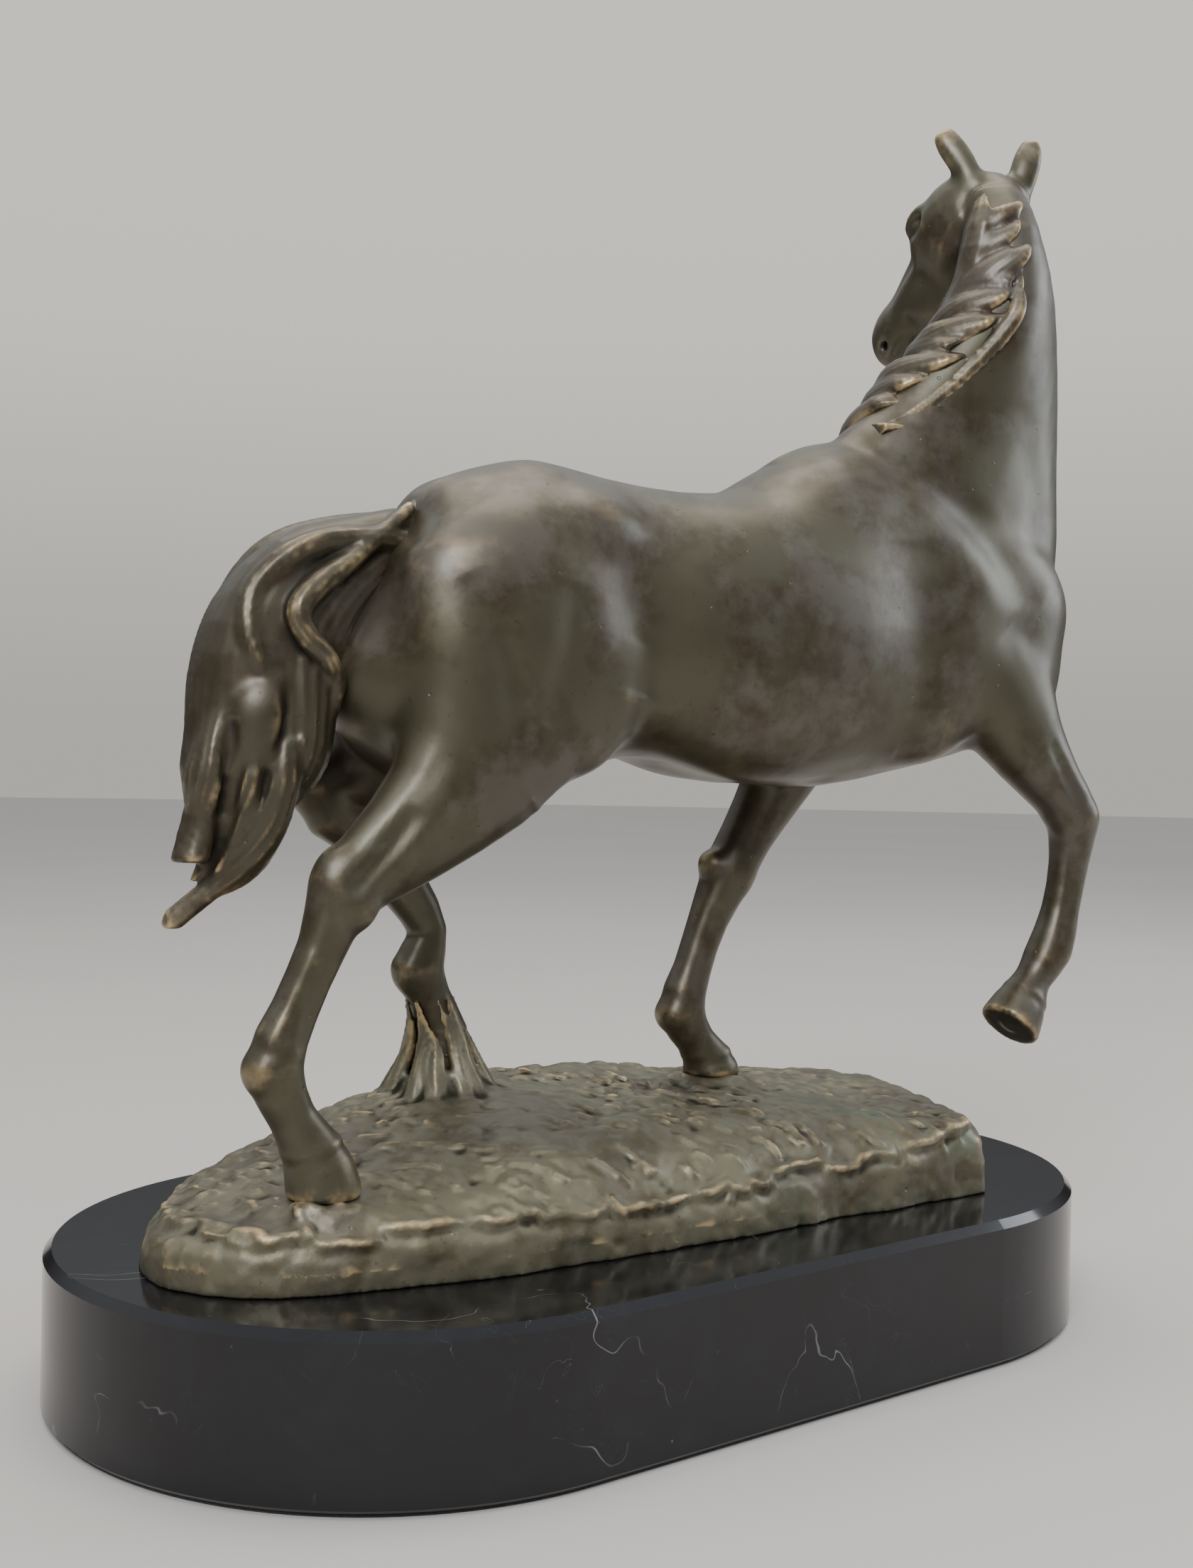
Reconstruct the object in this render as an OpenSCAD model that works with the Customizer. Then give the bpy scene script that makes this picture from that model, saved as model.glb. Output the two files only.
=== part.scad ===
// Walking horse statuette: lost-wax bronze castings on a polished marble base.
// Z is up, the horse walks towards +X, and the origin is the centre of the felt's underside.

/* [Marble base] */
// Length of the marble base, end to end
base_l = 268; // [230:1:330]
// Width of the marble base
base_w = 149; // [125:1:190]
// Thickness of the marble slab
marble_h = 33; // [26:1:45]
// Width of the polished bevel round the top edge
top_bevel = 1.8; // [0.5:0.1:4]
// Width of the small bevel round the bottom edge
foot_bevel = 0.7; // [0.3:0.1:2]

/* [Felt pad] */
// Thickness of the felt under the marble
felt_t = 1; // [0.6:0.1:3]
// How far the felt stays in from the marble's edge
felt_inset = 1.5; // [0.8:0.1:6]

/* [Ground casting] */
// Length of the bronze ground
ground_l = 216; // [180:1:225]
// Width of the bronze ground
ground_w = 96; // [80:1:120]
// Level at which the horse stands, above the marble
ground_h = 24; // [20:1:34]
// Wall of the hollow ground casting
ground_wall = 3.5; // [2:0.1:6]

/* [Horse] */
// Height of the withers above the level that the horse stands on
withers_h = 157; // [125:1:200]
// Turn of the horse on its base, anticlockwise from above, in degrees
horse_turn = -7; // [-12:1:6]
// Sideways place of the horse's middle on the base, negative towards its right side
horse_shift = -14; // [-18:1:-4]
// Wall of the hollow body and neck castings
body_wall = 3.6; // [2:0.1:6]

/* [Fasteners] */
// Diameter of the two anchor studs
stud_d = 6; // [4:0.5:8]
// Distance between the two anchor studs
stud_pitch = 96; // [70:1:120]
// Gap between a stud and its hole in the marble
stud_gap = 0.5; // [0.2:0.1:1.5]
// Depth of the recess for washer and nut in the marble's underside
recess_h = 11; // [9:0.5:16]
// Diameter of the pins that hold the standing hooves
pin_d = 3; // [2:0.2:4]
// Diameter of the dowels across the casting seams
dowel_d = 4; // [3:0.2:5]
// Gap round each pin and dowel
pin_gap = 0.05; // [0.02:0.01:0.2]

/* [Hidden] */

BRONZE = [0.36, 0.30, 0.21];
PALE_BRONZE = [0.47, 0.40, 0.29];

marble_top = felt_t + marble_h;
stand_z = marble_top + ground_h;
horse_scale = withers_h / 157;

nut_h = 0.8 * stud_d;
nut_af = 1.67 * stud_d;
washer_t = 1.6;
washer_r = 1.35 * stud_d;
recess_r = washer_r + 1.2;
boss_r = stud_d + 1;
boss_top = ground_h - 5;
stud_grip = boss_top - 4;
stud_x = [-stud_pitch / 2, stud_pitch / 2];
stud_y = -5;

// ---------- general shapes ----------

function unit(v) = v / norm(v);
function signed_power(x, p) = sign(x) * pow(abs(x), p);

// Smooth curve through a list of rows: row i, and t from 0 to 1 towards row i + 1
function between(rows, i, t) =
    let (n = len(rows) - 1, a = rows[max(i - 1, 0)], b = rows[i],
         c = rows[min(i + 1, n)], d = rows[min(i + 2, n)])
    0.5 * (2 * b + (c - a) * t + (2 * a - 5 * b + 4 * c - d) * t * t
        + (3 * b - a - 3 * c + d) * t * t * t);
function between_closed(rows, i, t) =
    let (n = len(rows), a = rows[(i + n - 1) % n], b = rows[i],
         c = rows[(i + 1) % n], d = rows[(i + 2) % n])
    0.5 * (2 * b + (c - a) * t + (2 * a - 5 * b + 4 * c - d) * t * t
        + (3 * b - a - 3 * c + d) * t * t * t);
function smooth_rows(rows, steps) =
    [for (i = [0:len(rows) - 2]) for (k = [0:steps - 1]) between(rows, i, k / steps),
     rows[len(rows) - 1]];

// A station is [x, y, z, heading, half width, half depth on the back side, on the front side].
// Its ring is square to the path. The back side is the horse's back, crest or face line, and
// on a leg, where the path runs down, it is the leg's front.
function station_place(r) = [r[0], r[1], r[2]];
function path_way(rows, i) =
    unit(station_place(rows[min(i + 1, len(rows) - 1)]) - station_place(rows[max(i - 1, 0)]));
function station_ring(rows, i, sides, skin) =
    let (r = rows[i], way = path_way(rows, i),
         side0 = [-sin(r[3]), cos(r[3]), 0],
         side = unit(side0 - (side0 * way) * way),
         back = cross(way, side))
    [for (k = [0:sides - 1])
        let (a = 360 * k / sides, c = cos(a), s = sin(a))
        station_place(r) + side * signed_power(c, 0.92) * max(r[4] - skin, 0.5)
            + back * signed_power(s, 0.92) * max((s > 0 ? r[5] : r[6]) - skin, 0.5)];

// Skin over a row of rings with the same number of points, closed by flat ends
module skin_over(rings) {
    m = len(rings[0]);
    n = len(rings);
    polyhedron(points = [for (ring = rings) for (p = ring) p],
        faces = concat(
            [[for (k = [0:m - 1]) k]],
            [for (i = [0:n - 2]) for (k = [0:m - 1])
                [i * m + k, (i + 1) * m + k, (i + 1) * m + (k + 1) % m]],
            [for (i = [0:n - 2]) for (k = [0:m - 1])
                [i * m + k, (i + 1) * m + (k + 1) % m, i * m + (k + 1) % m]],
            [[for (k = [m - 1:-1:0]) (n - 1) * m + k]]),
        convexity = 6);
}
module loft(stations, steps, sides, skin = 0) {
    rows = smooth_rows(stations, steps);
    skin_over([for (i = [0:len(rows) - 1]) station_ring(rows, i, sides, skin)]);
}
// A block that holds everything on the far side of a plane through a point
module beyond(point, way) {
    reach = 400;
    turn = [0, acos(way[2] / norm(way)), atan2(way[1], way[0])];
    translate(point) rotate(turn) translate([-reach, -reach, 0]) cube([2 * reach, 2 * reach, 2 * reach]);
}
// A round bar centred on a point, along a direction
module bar(point, way, r, half_l, sides = 48) {
    turn = [0, acos(way[2] / norm(way)), atan2(way[1], way[0])];
    translate(point) rotate(turn) translate([0, 0, -half_l]) cylinder(h = 2 * half_l, r = r, $fn = sides);
}
// Boolean work on faceted castings is done as one mesh
module as_mesh() { resize([0, 0, 0]) render(convexity = 8) children(); }

// ---------- the horse's form, in its own frame ----------
// x is forward along the horse, y to its left, z up from the level that it stands on.

TORSO = [
    [-77, 0, 110, 0, 9, 12, 14],
    [-71, 0, 107, 0, 18, 24, 23],
    [-60, 0, 106, 0, 23.5, 33, 30],
    [-46, 0, 108, 0, 26.5, 37.5, 33],
    [-32, 0, 109, 0, 27, 40, 33],
    [-14, 0, 111, 0, 26, 35.5, 30],
    [4, 0, 112, 0, 27, 33, 31],
    [24, 0, 111, 0, 28.5, 37, 35],
    [44, 0, 113, 0, 28, 44, 38],
    [62, 0, 116, 0, 25.5, 46, 38],
    [82, 0, 120, 0, 23, 40, 38],
    [100, 0, 121, 0, 22, 30, 35],
    [114, 0, 119, 0, 19.5, 22, 27],
    [123, 0, 117, 0, 13, 14, 19],
    [127, 0, 116, 0, 5, 7, 9]];
NECK = [
    [70, 0, 112, 0, 18, 40, 42],
    [87, 0, 140, 2, 18, 39.5, 43],
    [97, 0, 163, 8, 17, 33, 36.5],
    [104.5, -2.5, 184, 22, 15.5, 26.5, 27],
    [107.5, -4, 203, 42, 13.2, 20.5, 20],
    [104.5, -3.5, 220, 62, 10.6, 15, 15],
    [103, -1.5, 232, 80, 8, 8.5, 9.5]];
HEAD = [
    [105.5, -6, 228, 98, 7.6, 7, 8],
    [105, 0.5, 229.5, 98, 11.8, 10.5, 14],
    [102.5, 9, 225, 98, 13, 12, 15.5],
    [104.5, 17, 218, 98, 9.8, 8.8, 16],
    [103, 23, 211, 98, 7.8, 7.6, 14.5],
    [102.5, 27.5, 206.5, 98, 7, 7.4, 11.5],
    [102, 32, 203, 98, 6.9, 7.6, 10],
    [103.5, 36.5, 199, 98, 6.3, 6.8, 8.5],
    [104, 38.5, 197.5, 98, 4.4, 4.8, 6]];
LEFT_EAR = [
    [98, -1.5, 234, 60, 3, 2.8, 2.8],
    [96, 0.5, 240, 60, 3.8, 2.7, 2.7],
    [93.5, 3, 245.5, 60, 3.8, 2.5, 2.5],
    [91.8, 4.6, 249, 60, 2.7, 1.6, 1.6]];
RIGHT_EAR = [
    [112, -3, 232, 60, 3, 2.8, 2.8],
    [113.2, -4, 239, 60, 4, 2.7, 2.7],
    [115.2, -4, 245, 60, 3.7, 2.3, 2.3],
    [116.2, -3.8, 249, 60, 2.2, 1.3, 1.3]];
TAIL = [
    [-59, 0, 134, 0, 6, 5, 5],
    [-73, 0, 129, 0, 8, 9, 6.5],
    [-88, 0, 120, 0, 11, 13, 11],
    [-96, 0, 105, 0, 12.5, 17, 14],
    [-98, 0, 89, 0, 12.5, 17, 14.5],
    [-100, 0, 75, 0, 11.5, 14, 15.5],
    [-104, 0, 63.5, 0, 8, 9, 10],
    [-109, 0, 56, 0, 4, 4, 3.5],
    [-115, 0, 52, 0, 1.6, 1.6, 1.4]];
RIGHT_HIND = [
    [-44, -12, 122, 0, 13.5, 25, 26],
    [-46, -16, 103, 0, 12.5, 24, 25.5],
    [-52, -18, 86, 0, 11, 21.5, 20],
    [-65, -19, 70, 0, 8.8, 14, 12.6],
    [-77, -20, 59, 0, 6.5, 8.8, 10],
    [-85, -20.5, 51.5, 0, 6, 6, 8],
    [-90, -21, 42, 0, 4.7, 5, 5.2],
    [-95.5, -21, 30, 0, 4.4, 4.9, 5],
    [-99.5, -21.5, 19, 0, 5.5, 5.4, 6.4],
    [-96, -21.5, 8.5, 0, 4.6, 4.9, 4.7],
    [-91.5, -21.5, 1, 0, 6.4, 6.6, 6.4],
    [-89.5, -21.5, -6, 0, 7.6, 8, 7.2],
    [-89.5, -21.5, -12, 0, 7.6, 8, 7.2]];
LEFT_HIND = [
    [-42, 12, 122, 0, 13.5, 25, 26],
    [-42, 15, 104, 0, 12.5, 22, 25],
    [-47, 17, 91, 0, 11, 16, 19],
    [-61, 19, 80, 0, 8.8, 11.5, 12],
    [-73, 20, 72.5, 0, 6.8, 7.6, 9.4],
    [-65, 20, 63.5, 0, 5.4, 6.2, 6],
    [-53.5, 20, 51, 0, 5, 6, 5.8],
    [-47, 20, 40.5, 0, 4.4, 4.6, 4.6],
    [-49, 20, 32.5, 0, 5.5, 5.8, 6.4],
    [-46, 20.5, 25, 0, 4.8, 5, 5],
    [-43, 20.5, 17.5, 0, 6, 6, 6],
    [-43, 21, 10, 0, 7.4, 7.8, 7.2],
    [-43, 21, 4, 0, 7.4, 7.8, 7.2]];
LEFT_FORE = [
    [62, 12, 108, 0, 11, 17, 16],
    [56, 14, 90, 0, 9.5, 13, 12],
    [49.5, 16, 75, 0, 7.5, 8.8, 9.3],
    [41, 16.5, 62, 0, 6.2, 7, 7],
    [36, 17, 53, 0, 6.6, 6.8, 6.4],
    [30, 17, 41, 0, 4.8, 5.3, 5.1],
    [25.5, 17, 29, 0, 4.5, 5.1, 4.9],
    [22.5, 17, 18.5, 0, 5.6, 6, 6.2],
    [27, 17, 10.5, 0, 4.8, 5, 4.8],
    [30.5, 17, 5.5, 0, 6.6, 6.6, 6.4],
    [31.5, 17, 1, 0, 7.6, 8, 7.4],
    [31.5, 17, -4, 0, 7.6, 8, 7.4]];
RIGHT_FORE = [
    [88, -12, 112, 0, 11, 19, 16],
    [98, -14, 97, 0, 10.2, 18, 12.5],
    [108, -15.5, 85, 0, 8.2, 12.5, 10],
    [116.5, -16.5, 76, 0, 6.8, 8.6, 7.8],
    [122.5, -17, 68, 0, 6.4, 6.8, 6.8],
    [121.6, -17, 56, 0, 4.9, 5.3, 5.5],
    [119, -17, 44, 0, 4.6, 5, 5.2],
    [115.5, -17, 33.5, 0, 5.6, 5.8, 6.2],
    [109.5, -17, 26, 0, 4.6, 4.6, 4.8],
    [106, -17, 21, 0, 6.4, 6.6, 6.4],
    [100.5, -17.5, 14.5, 0, 7.8, 8.8, 7.6]];

// Where the three standing hooves rest: [x, y, height above the standing level]
RIGHT_HIND_SEAT = [-89.5, -21.5, -8];
LEFT_HIND_SEAT = [-43, 21, 8];
LEFT_FORE_SEAT = [31.5, 17, 2];
SEATS = [RIGHT_HIND_SEAT, LEFT_HIND_SEAT, LEFT_FORE_SEAT];

// Seam planes between castings: [point, direction towards the smaller casting]
NECK_SEAM = [[92, 0, 146], [0.5, 0, 0.87]];
HEAD_SEAM = [[107, -2, 226], [0, 0.8, 0.6]];
RIGHT_HIND_SEAM = [[-55, -18, 80], [-0.6, 0, -0.8]];
LEFT_HIND_SEAM = [[-48, 17, 83], [-0.5, 0, -0.87]];
LEFT_FORE_SEAM = [[53, 15, 84], [-0.35, 0, -0.94]];
RIGHT_FORE_SEAM = [[102, -15, 89], [0.68, 0, -0.73]];
TAIL_ROOT = [[-69, 0, 124], [-1, 0, -0.1]];
LEG_SEAMS = [RIGHT_HIND_SEAM, LEFT_HIND_SEAM, LEFT_FORE_SEAM, RIGHT_FORE_SEAM];

// Seats that the standing hooves rest on: radius, solid core under them, height, and a hoof's room
SEAT_R = 10;
SEAT_CORE_R = 6;
SEAT_H = 12;
HOOF_REACH = 16;
HOOF_H = 30;

module on_horse() {
    translate([0, horse_shift, stand_z]) rotate([0, 0, horse_turn]) scale(horse_scale) children();
}
// A place in the horse's frame given in the part's frame
function horse_place(p) =
    let (q = p * horse_scale)
    [q[0] * cos(horse_turn) - q[1] * sin(horse_turn),
     q[0] * sin(horse_turn) + q[1] * cos(horse_turn) + horse_shift, q[2] + stand_z];

module torso_form() loft(TORSO, 2, 28);
module neck_form(skin = 0) loft(NECK, 3, 24, skin);
module head_form() loft(HEAD, 3, 20);
module limb_form(stations) loft(stations, 2, 16);
// The hollow stops one station short of the rump and of the breast, so that both keep a wall
TORSO_HOLLOW = [for (i = [1:len(TORSO) - 2]) TORSO[i]];
// The neck is hollow up to this level
HOLLOW_TOP = 214;
module hollow_form() {
    loft(TORSO_HOLLOW, 2, 28, body_wall / horse_scale);
    difference() {
        neck_form(body_wall / horse_scale);
        beyond([0, 0, HOLLOW_TOP], [0, 0, 1]);
    }
}
module leg_roots() {
    for (leg = [[RIGHT_HIND, RIGHT_HIND_SEAM], [LEFT_HIND, LEFT_HIND_SEAM],
                [LEFT_FORE, LEFT_FORE_SEAM], [RIGHT_FORE, RIGHT_FORE_SEAM]])
        difference() {
            limb_form(leg[0]);
            beyond(leg[1][0], leg[1][1]);
        }
}
module dowel_at(seam, extra = 0) {
    bar(seam[0], seam[1], (dowel_d / 2 + extra) / horse_scale, 7 + extra);
}

module torso_casting() color(BRONZE) on_horse() as_mesh() difference() {
    union() {
        torso_form();
        difference() {
            neck_form();
            beyond(NECK_SEAM[0], NECK_SEAM[1]);
        }
        leg_roots();
    }
    hollow_form();
    for (seam = LEG_SEAMS) dowel_at(seam, pin_gap);
    dowel_at(TAIL_ROOT, pin_gap);
}
module neck_casting() color(BRONZE) on_horse() as_mesh() difference() {
    intersection() {
        union() {
            neck_form();
            head_form();
        }
        beyond(NECK_SEAM[0], NECK_SEAM[1]);
    }
    beyond(HEAD_SEAM[0], HEAD_SEAM[1]);
    torso_form();
    hollow_form();
}
module head_casting() color(BRONZE) on_horse() as_mesh() intersection() {
    union() {
        neck_form();
        head_form();
    }
    beyond(HEAD_SEAM[0], HEAD_SEAM[1]);
}
module ear(stations) color(PALE_BRONZE) on_horse() as_mesh() difference() {
    loft(stations, 3, 12);
    head_form();
    neck_form();
}
module left_ear() ear(LEFT_EAR);
module right_ear() ear(RIGHT_EAR);

// The mane lies along the crest and falls to the left side of the neck
MANE_RISE = 0.62;
MANE_FALL = 0.55;
function mane_station(r, w, d) =
    let (side = [-sin(r[3]), cos(r[3]), 0], back = [-cos(r[3]), -sin(r[3]), 0])
    concat([for (v = station_place(r) + side * r[4] * MANE_FALL + back * r[5] * MANE_RISE) v],
        [r[3], w, d, d]);
MANE = [mane_station(NECK[1], 2.5, 2.5), mane_station(NECK[2], 7, 8), mane_station(NECK[3], 8, 9),
    mane_station(NECK[4], 8, 8.5), mane_station(NECK[5], 7, 7.5), mane_station(NECK[6], 4, 5)];
module mane_casting() color(PALE_BRONZE) on_horse() as_mesh() difference() {
    loft(MANE, 3, 14);
    torso_form();
    neck_form();
    head_form();
    loft(LEFT_EAR, 3, 12);
    loft(RIGHT_EAR, 3, 12);
}
module tail_casting() color(BRONZE) on_horse() as_mesh() difference() {
    loft(TAIL, 3, 20);
    torso_form();
    leg_roots();
    limb_form(RIGHT_HIND);
    limb_form(LEFT_HIND);
    dowel_at(TAIL_ROOT, pin_gap);
}
module leg(stations, seam) color(BRONZE) on_horse() as_mesh() difference() {
    intersection() {
        limb_form(stations);
        beyond(seam[0], seam[1]);
    }
    torso_form();
    dowel_at(seam, pin_gap);
    for (seat = SEATS) {
        translate([seat[0], seat[1], seat[2] - HOOF_H]) cylinder(h = HOOF_H, r = HOOF_REACH, $fn = 32);
        hoof_pin_at(seat, pin_gap);
    }
}
module left_foreleg() leg(LEFT_FORE, LEFT_FORE_SEAM);
module right_foreleg() leg(RIGHT_FORE, RIGHT_FORE_SEAM);
module left_hind_leg() leg(LEFT_HIND, LEFT_HIND_SEAM);
module right_hind_leg() leg(RIGHT_HIND, RIGHT_HIND_SEAM);

PIN_UP = 5.5;
PIN_DOWN = 7;
module hoof_pin_at(seat, extra = 0) {
    translate([seat[0], seat[1], seat[2] - PIN_DOWN - extra])
        cylinder(h = PIN_UP + PIN_DOWN + 2 * extra, r = (pin_d / 2 + extra) / horse_scale, $fn = 48);
}
module hoof_pins() color(PALE_BRONZE) on_horse() for (seat = SEATS) hoof_pin_at(seat);
module seam_dowels() color(PALE_BRONZE) on_horse() {
    for (seam = LEG_SEAMS) dowel_at(seam);
    dowel_at(TAIL_ROOT);
}

// ---------- ground ----------
// Outline of the ground, anticlockwise: [x, y, height of its edge], as shares of length, width
// and standing height, measured from the middle of the ground
GROUND_MIDDLE = [-12, -5];
OUTLINE = [
    [-0.505, -0.07, 0.42], [-0.472, -0.23, 0.46], [-0.426, -0.30, 0.48], [-0.333, -0.375, 0.46],
    [-0.208, -0.438, 0.44], [-0.037, -0.469, 0.42], [0.148, -0.479, 0.48], [0.296, -0.5, 0.58],
    [0.398, -0.51, 0.70], [0.426, -0.47, 0.75], [0.472, -0.156, 0.80], [0.5, 0.135, 0.80],
    [0.472, 0.344, 0.72], [0.361, 0.448, 0.62], [0.171, 0.49, 0.58], [-0.037, 0.49, 0.58],
    [-0.231, 0.448, 0.54], [-0.389, 0.344, 0.46], [-0.481, 0.135, 0.42]];
// Knolls and hollows of the ground: [x, y, height above the standing level]
seat_knolls = [for (s = SEATS) let (p = horse_place(s)) [p[0], p[1], s[2] * horse_scale - 0.6]];
KNOLLS = [[-0.02, -0.2, -3], [0.05, 0.25, 5], [0.38, 0.05, -3], [-0.4, 0.15, -4], [0.3, -0.33, -5]];
knolls = concat(seat_knolls,
    [for (k = KNOLLS) [GROUND_MIDDLE[0] + k[0] * ground_l, GROUND_MIDDLE[1] + k[1] * ground_w, k[2]]]);
KNOLL_REACH = 26;

function total(v, i = 0) = i < len(v) ? v[i] + total(v, i + 1) : 0;
function ground_rise(x, y) =
    let (pull = [for (k = knolls)
        exp(-(pow(x - k[0], 2) + pow(y - k[1], 2)) / (2 * KNOLL_REACH * KNOLL_REACH)) + 0.0001])
    ground_h + total([for (i = [0:len(knolls) - 1]) pull[i] * knolls[i][2]]) / total(pull);

edge_rows = [for (i = [0:len(OUTLINE) - 1]) for (t = [0, 1 / 3, 2 / 3]) between_closed(OUTLINE, i, t)];
// Each ring of the ground: [share of the way out from the middle, share of the edge's height]
GROUND_RINGS = [[1, 0, 1], [0.992, 0.7, 1], [0.965, 1, 1], [0.88, 1, 0.55], [0.74, 1, 0.2],
    [0.56, 1, 0], [0.36, 1, 0], [0.16, 1, 0]];
function ground_point(row, ring, skin) =
    let (out = ring[0] * (1 - skin / (0.4 * ground_w)),
         x = GROUND_MIDDLE[0] + row[0] * ground_l * out,
         y = GROUND_MIDDLE[1] + row[1] * ground_w * out,
         inner = ground_rise(x, y),
         edge = row[2] * ground_h * ring[1])
    [x, y, max((ring[1] == 0 ? 0 : ring[2] * edge + (1 - ring[2]) * inner - skin), 0)];
module ground_form(skin = 0) {
    translate([0, 0, marble_top])
        skin_over([for (ring = GROUND_RINGS) [for (row = edge_rows) ground_point(row, ring, skin)]]);
}
module standing_legs() {
    for (leg = [RIGHT_HIND, LEFT_HIND, LEFT_FORE]) limb_form(leg);
}
module at_seats(drop, h, r) {
    on_horse() for (seat = SEATS) translate(seat - [0, 0, drop]) cylinder(h = h, r = r, $fn = 32);
}
// The seats are cut off this far above the marble, so that their undersides stay inside the ground
SEAT_FOOT = 4;
module ground_casting() color(BRONZE) as_mesh() difference() {
    union() {
        ground_form();
        intersection() {
            at_seats(SEAT_H, SEAT_H, SEAT_R);
            translate([0, 0, marble_top + SEAT_FOOT]) cylinder(h = 2 * stand_z, r = base_l);
        }
    }
    difference() {
        translate([0, 0, -0.01]) ground_form(ground_wall);
        at_seats(SEAT_H - 4, SEAT_H - 4, SEAT_CORE_R);
    }
    intersection() {
        on_horse() standing_legs();
        at_seats(0, HOOF_H, HOOF_REACH);
    }
    on_horse() for (seat = SEATS) hoof_pin_at(seat, pin_gap);
    for (x = stud_x) translate([x, stud_y, marble_top]) cylinder(h = boss_top, r = boss_r, $fn = 48);
}
module ground_bosses() color(BRONZE) for (x = stud_x) translate([x, stud_y, marble_top]) difference() {
    cylinder(h = boss_top, r = boss_r, $fn = 48);
    translate([0, 0, -1]) cylinder(h = stud_grip + 1, r = stud_d / 2, $fn = 48);
}

// ---------- marble, felt and fasteners ----------

// Race-track outline: straight sides and half-round ends
module race_track(l, w) {
    square([l - w, w], center = true);
    for (side = [-1, 1]) translate([side * (l - w) / 2, 0]) circle(d = w, $fn = 96);
}
// Upright section of the marble from its middle line out, with both bevels
module marble_section() {
    r = base_w / 2;
    polygon([[0, 0], [r - foot_bevel, 0], [r, foot_bevel], [r, marble_h - top_bevel],
        [r - top_bevel, marble_h], [0, marble_h]]);
}
module marble_base() color([0.05, 0.05, 0.06]) difference() {
    straight = base_l - base_w;
    translate([0, 0, felt_t]) {
        for (side = [-1, 1]) translate([side * straight / 2, 0, 0])
            rotate([0, 0, side * 90 - 180]) rotate_extrude(angle = 180, $fn = 96) marble_section();
        rotate([90, 0, 90]) linear_extrude(straight, center = true) {
            marble_section();
            mirror([1, 0]) marble_section();
        }
    }
    for (x = stud_x) translate([x, stud_y, 0]) {
        cylinder(h = marble_top + 1, r = stud_d / 2 + stud_gap, $fn = 48);
        cylinder(h = felt_t + recess_h, r = recess_r, $fn = 48);
    }
}
module felt_pad() color([0.04, 0.04, 0.04]) linear_extrude(felt_t)
    race_track(base_l - 2 * felt_inset, base_w - 2 * felt_inset);
// Underside of the nuts, and the studs' lower ends just below them
nut_z = felt_t + recess_h - washer_t - nut_h;
stud_z = nut_z - 1.5;
module anchor_studs() color("silver") for (x = stud_x) translate([x, stud_y, stud_z])
    cylinder(h = marble_top + stud_grip - stud_z, r = stud_d / 2, $fn = 48);
module anchor_washers() color("silver") for (x = stud_x)
    translate([x, stud_y, felt_t + recess_h - washer_t]) difference() {
        cylinder(h = washer_t, r = washer_r, $fn = 48);
        translate([0, 0, -1]) cylinder(h = washer_t + 2, r = stud_d / 2, $fn = 48);
    }
module anchor_nuts() color("silver") for (x = stud_x)
    translate([x, stud_y, nut_z]) difference() {
        cylinder(h = nut_h, d = nut_af / cos(30), $fn = 6);
        translate([0, 0, -1]) cylinder(h = nut_h + 2, r = stud_d / 2, $fn = 48);
    }

felt_pad();
marble_base();
ground_casting();
ground_bosses();
anchor_studs();
anchor_washers();
anchor_nuts();
hoof_pins();
seam_dowels();
torso_casting();
neck_casting();
head_casting();
left_ear();
right_ear();
mane_casting();
tail_casting();
left_foreleg();
right_foreleg();
left_hind_leg();
right_hind_leg();
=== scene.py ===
"""Looks of a bronze horse statuette on its marble base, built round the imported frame.

The horse is modelled the way a founder's wax is: the frame's castings are packed into clay, muscles and
folds are added and cut with strokes, and the mane and tail are laid on as separate locks of hair. All
places in HorseSpace are millimetres forward, to the horse's left, and above the level it stands on.
"""
from __future__ import annotations

import logging
import math
from dataclasses import dataclass, field
from enum import Enum
from functools import cache
from typing import Iterable, Sequence

import bpy
import numpy as np
import openvdb as vdb
from mathutils import Matrix, Vector
from mathutils.bvhtree import BVHTree


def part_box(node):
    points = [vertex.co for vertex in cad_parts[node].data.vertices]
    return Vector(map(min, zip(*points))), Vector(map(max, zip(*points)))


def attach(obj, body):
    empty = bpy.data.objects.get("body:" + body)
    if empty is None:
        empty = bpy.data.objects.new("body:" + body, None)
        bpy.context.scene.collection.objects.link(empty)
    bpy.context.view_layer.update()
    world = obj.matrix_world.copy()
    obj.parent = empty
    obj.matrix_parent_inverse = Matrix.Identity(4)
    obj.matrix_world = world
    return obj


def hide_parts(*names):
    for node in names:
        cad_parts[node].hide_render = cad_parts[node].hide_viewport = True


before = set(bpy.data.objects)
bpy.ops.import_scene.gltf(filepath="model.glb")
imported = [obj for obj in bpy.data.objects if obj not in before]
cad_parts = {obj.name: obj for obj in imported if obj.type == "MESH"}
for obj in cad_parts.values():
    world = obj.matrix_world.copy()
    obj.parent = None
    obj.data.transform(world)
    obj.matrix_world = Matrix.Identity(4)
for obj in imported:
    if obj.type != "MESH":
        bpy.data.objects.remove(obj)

LOG = logging.getLogger("statuette")
MM = 0.001
RELIEF_ROUNDS = {"fine_relief": 6, "broad_relief": 60}
Place = Sequence[float]
Array = np.ndarray
Colour = tuple[float, float, float, float]


# ---------------------------------------------------------------- places

@cache
def low_of(node: str) -> Array:
    """Lowest corner of a frame node's box."""
    return np.array(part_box(node)[0])


@cache
def high_of(node: str) -> Array:
    """Highest corner of a frame node's box."""
    return np.array(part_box(node)[1])


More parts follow.
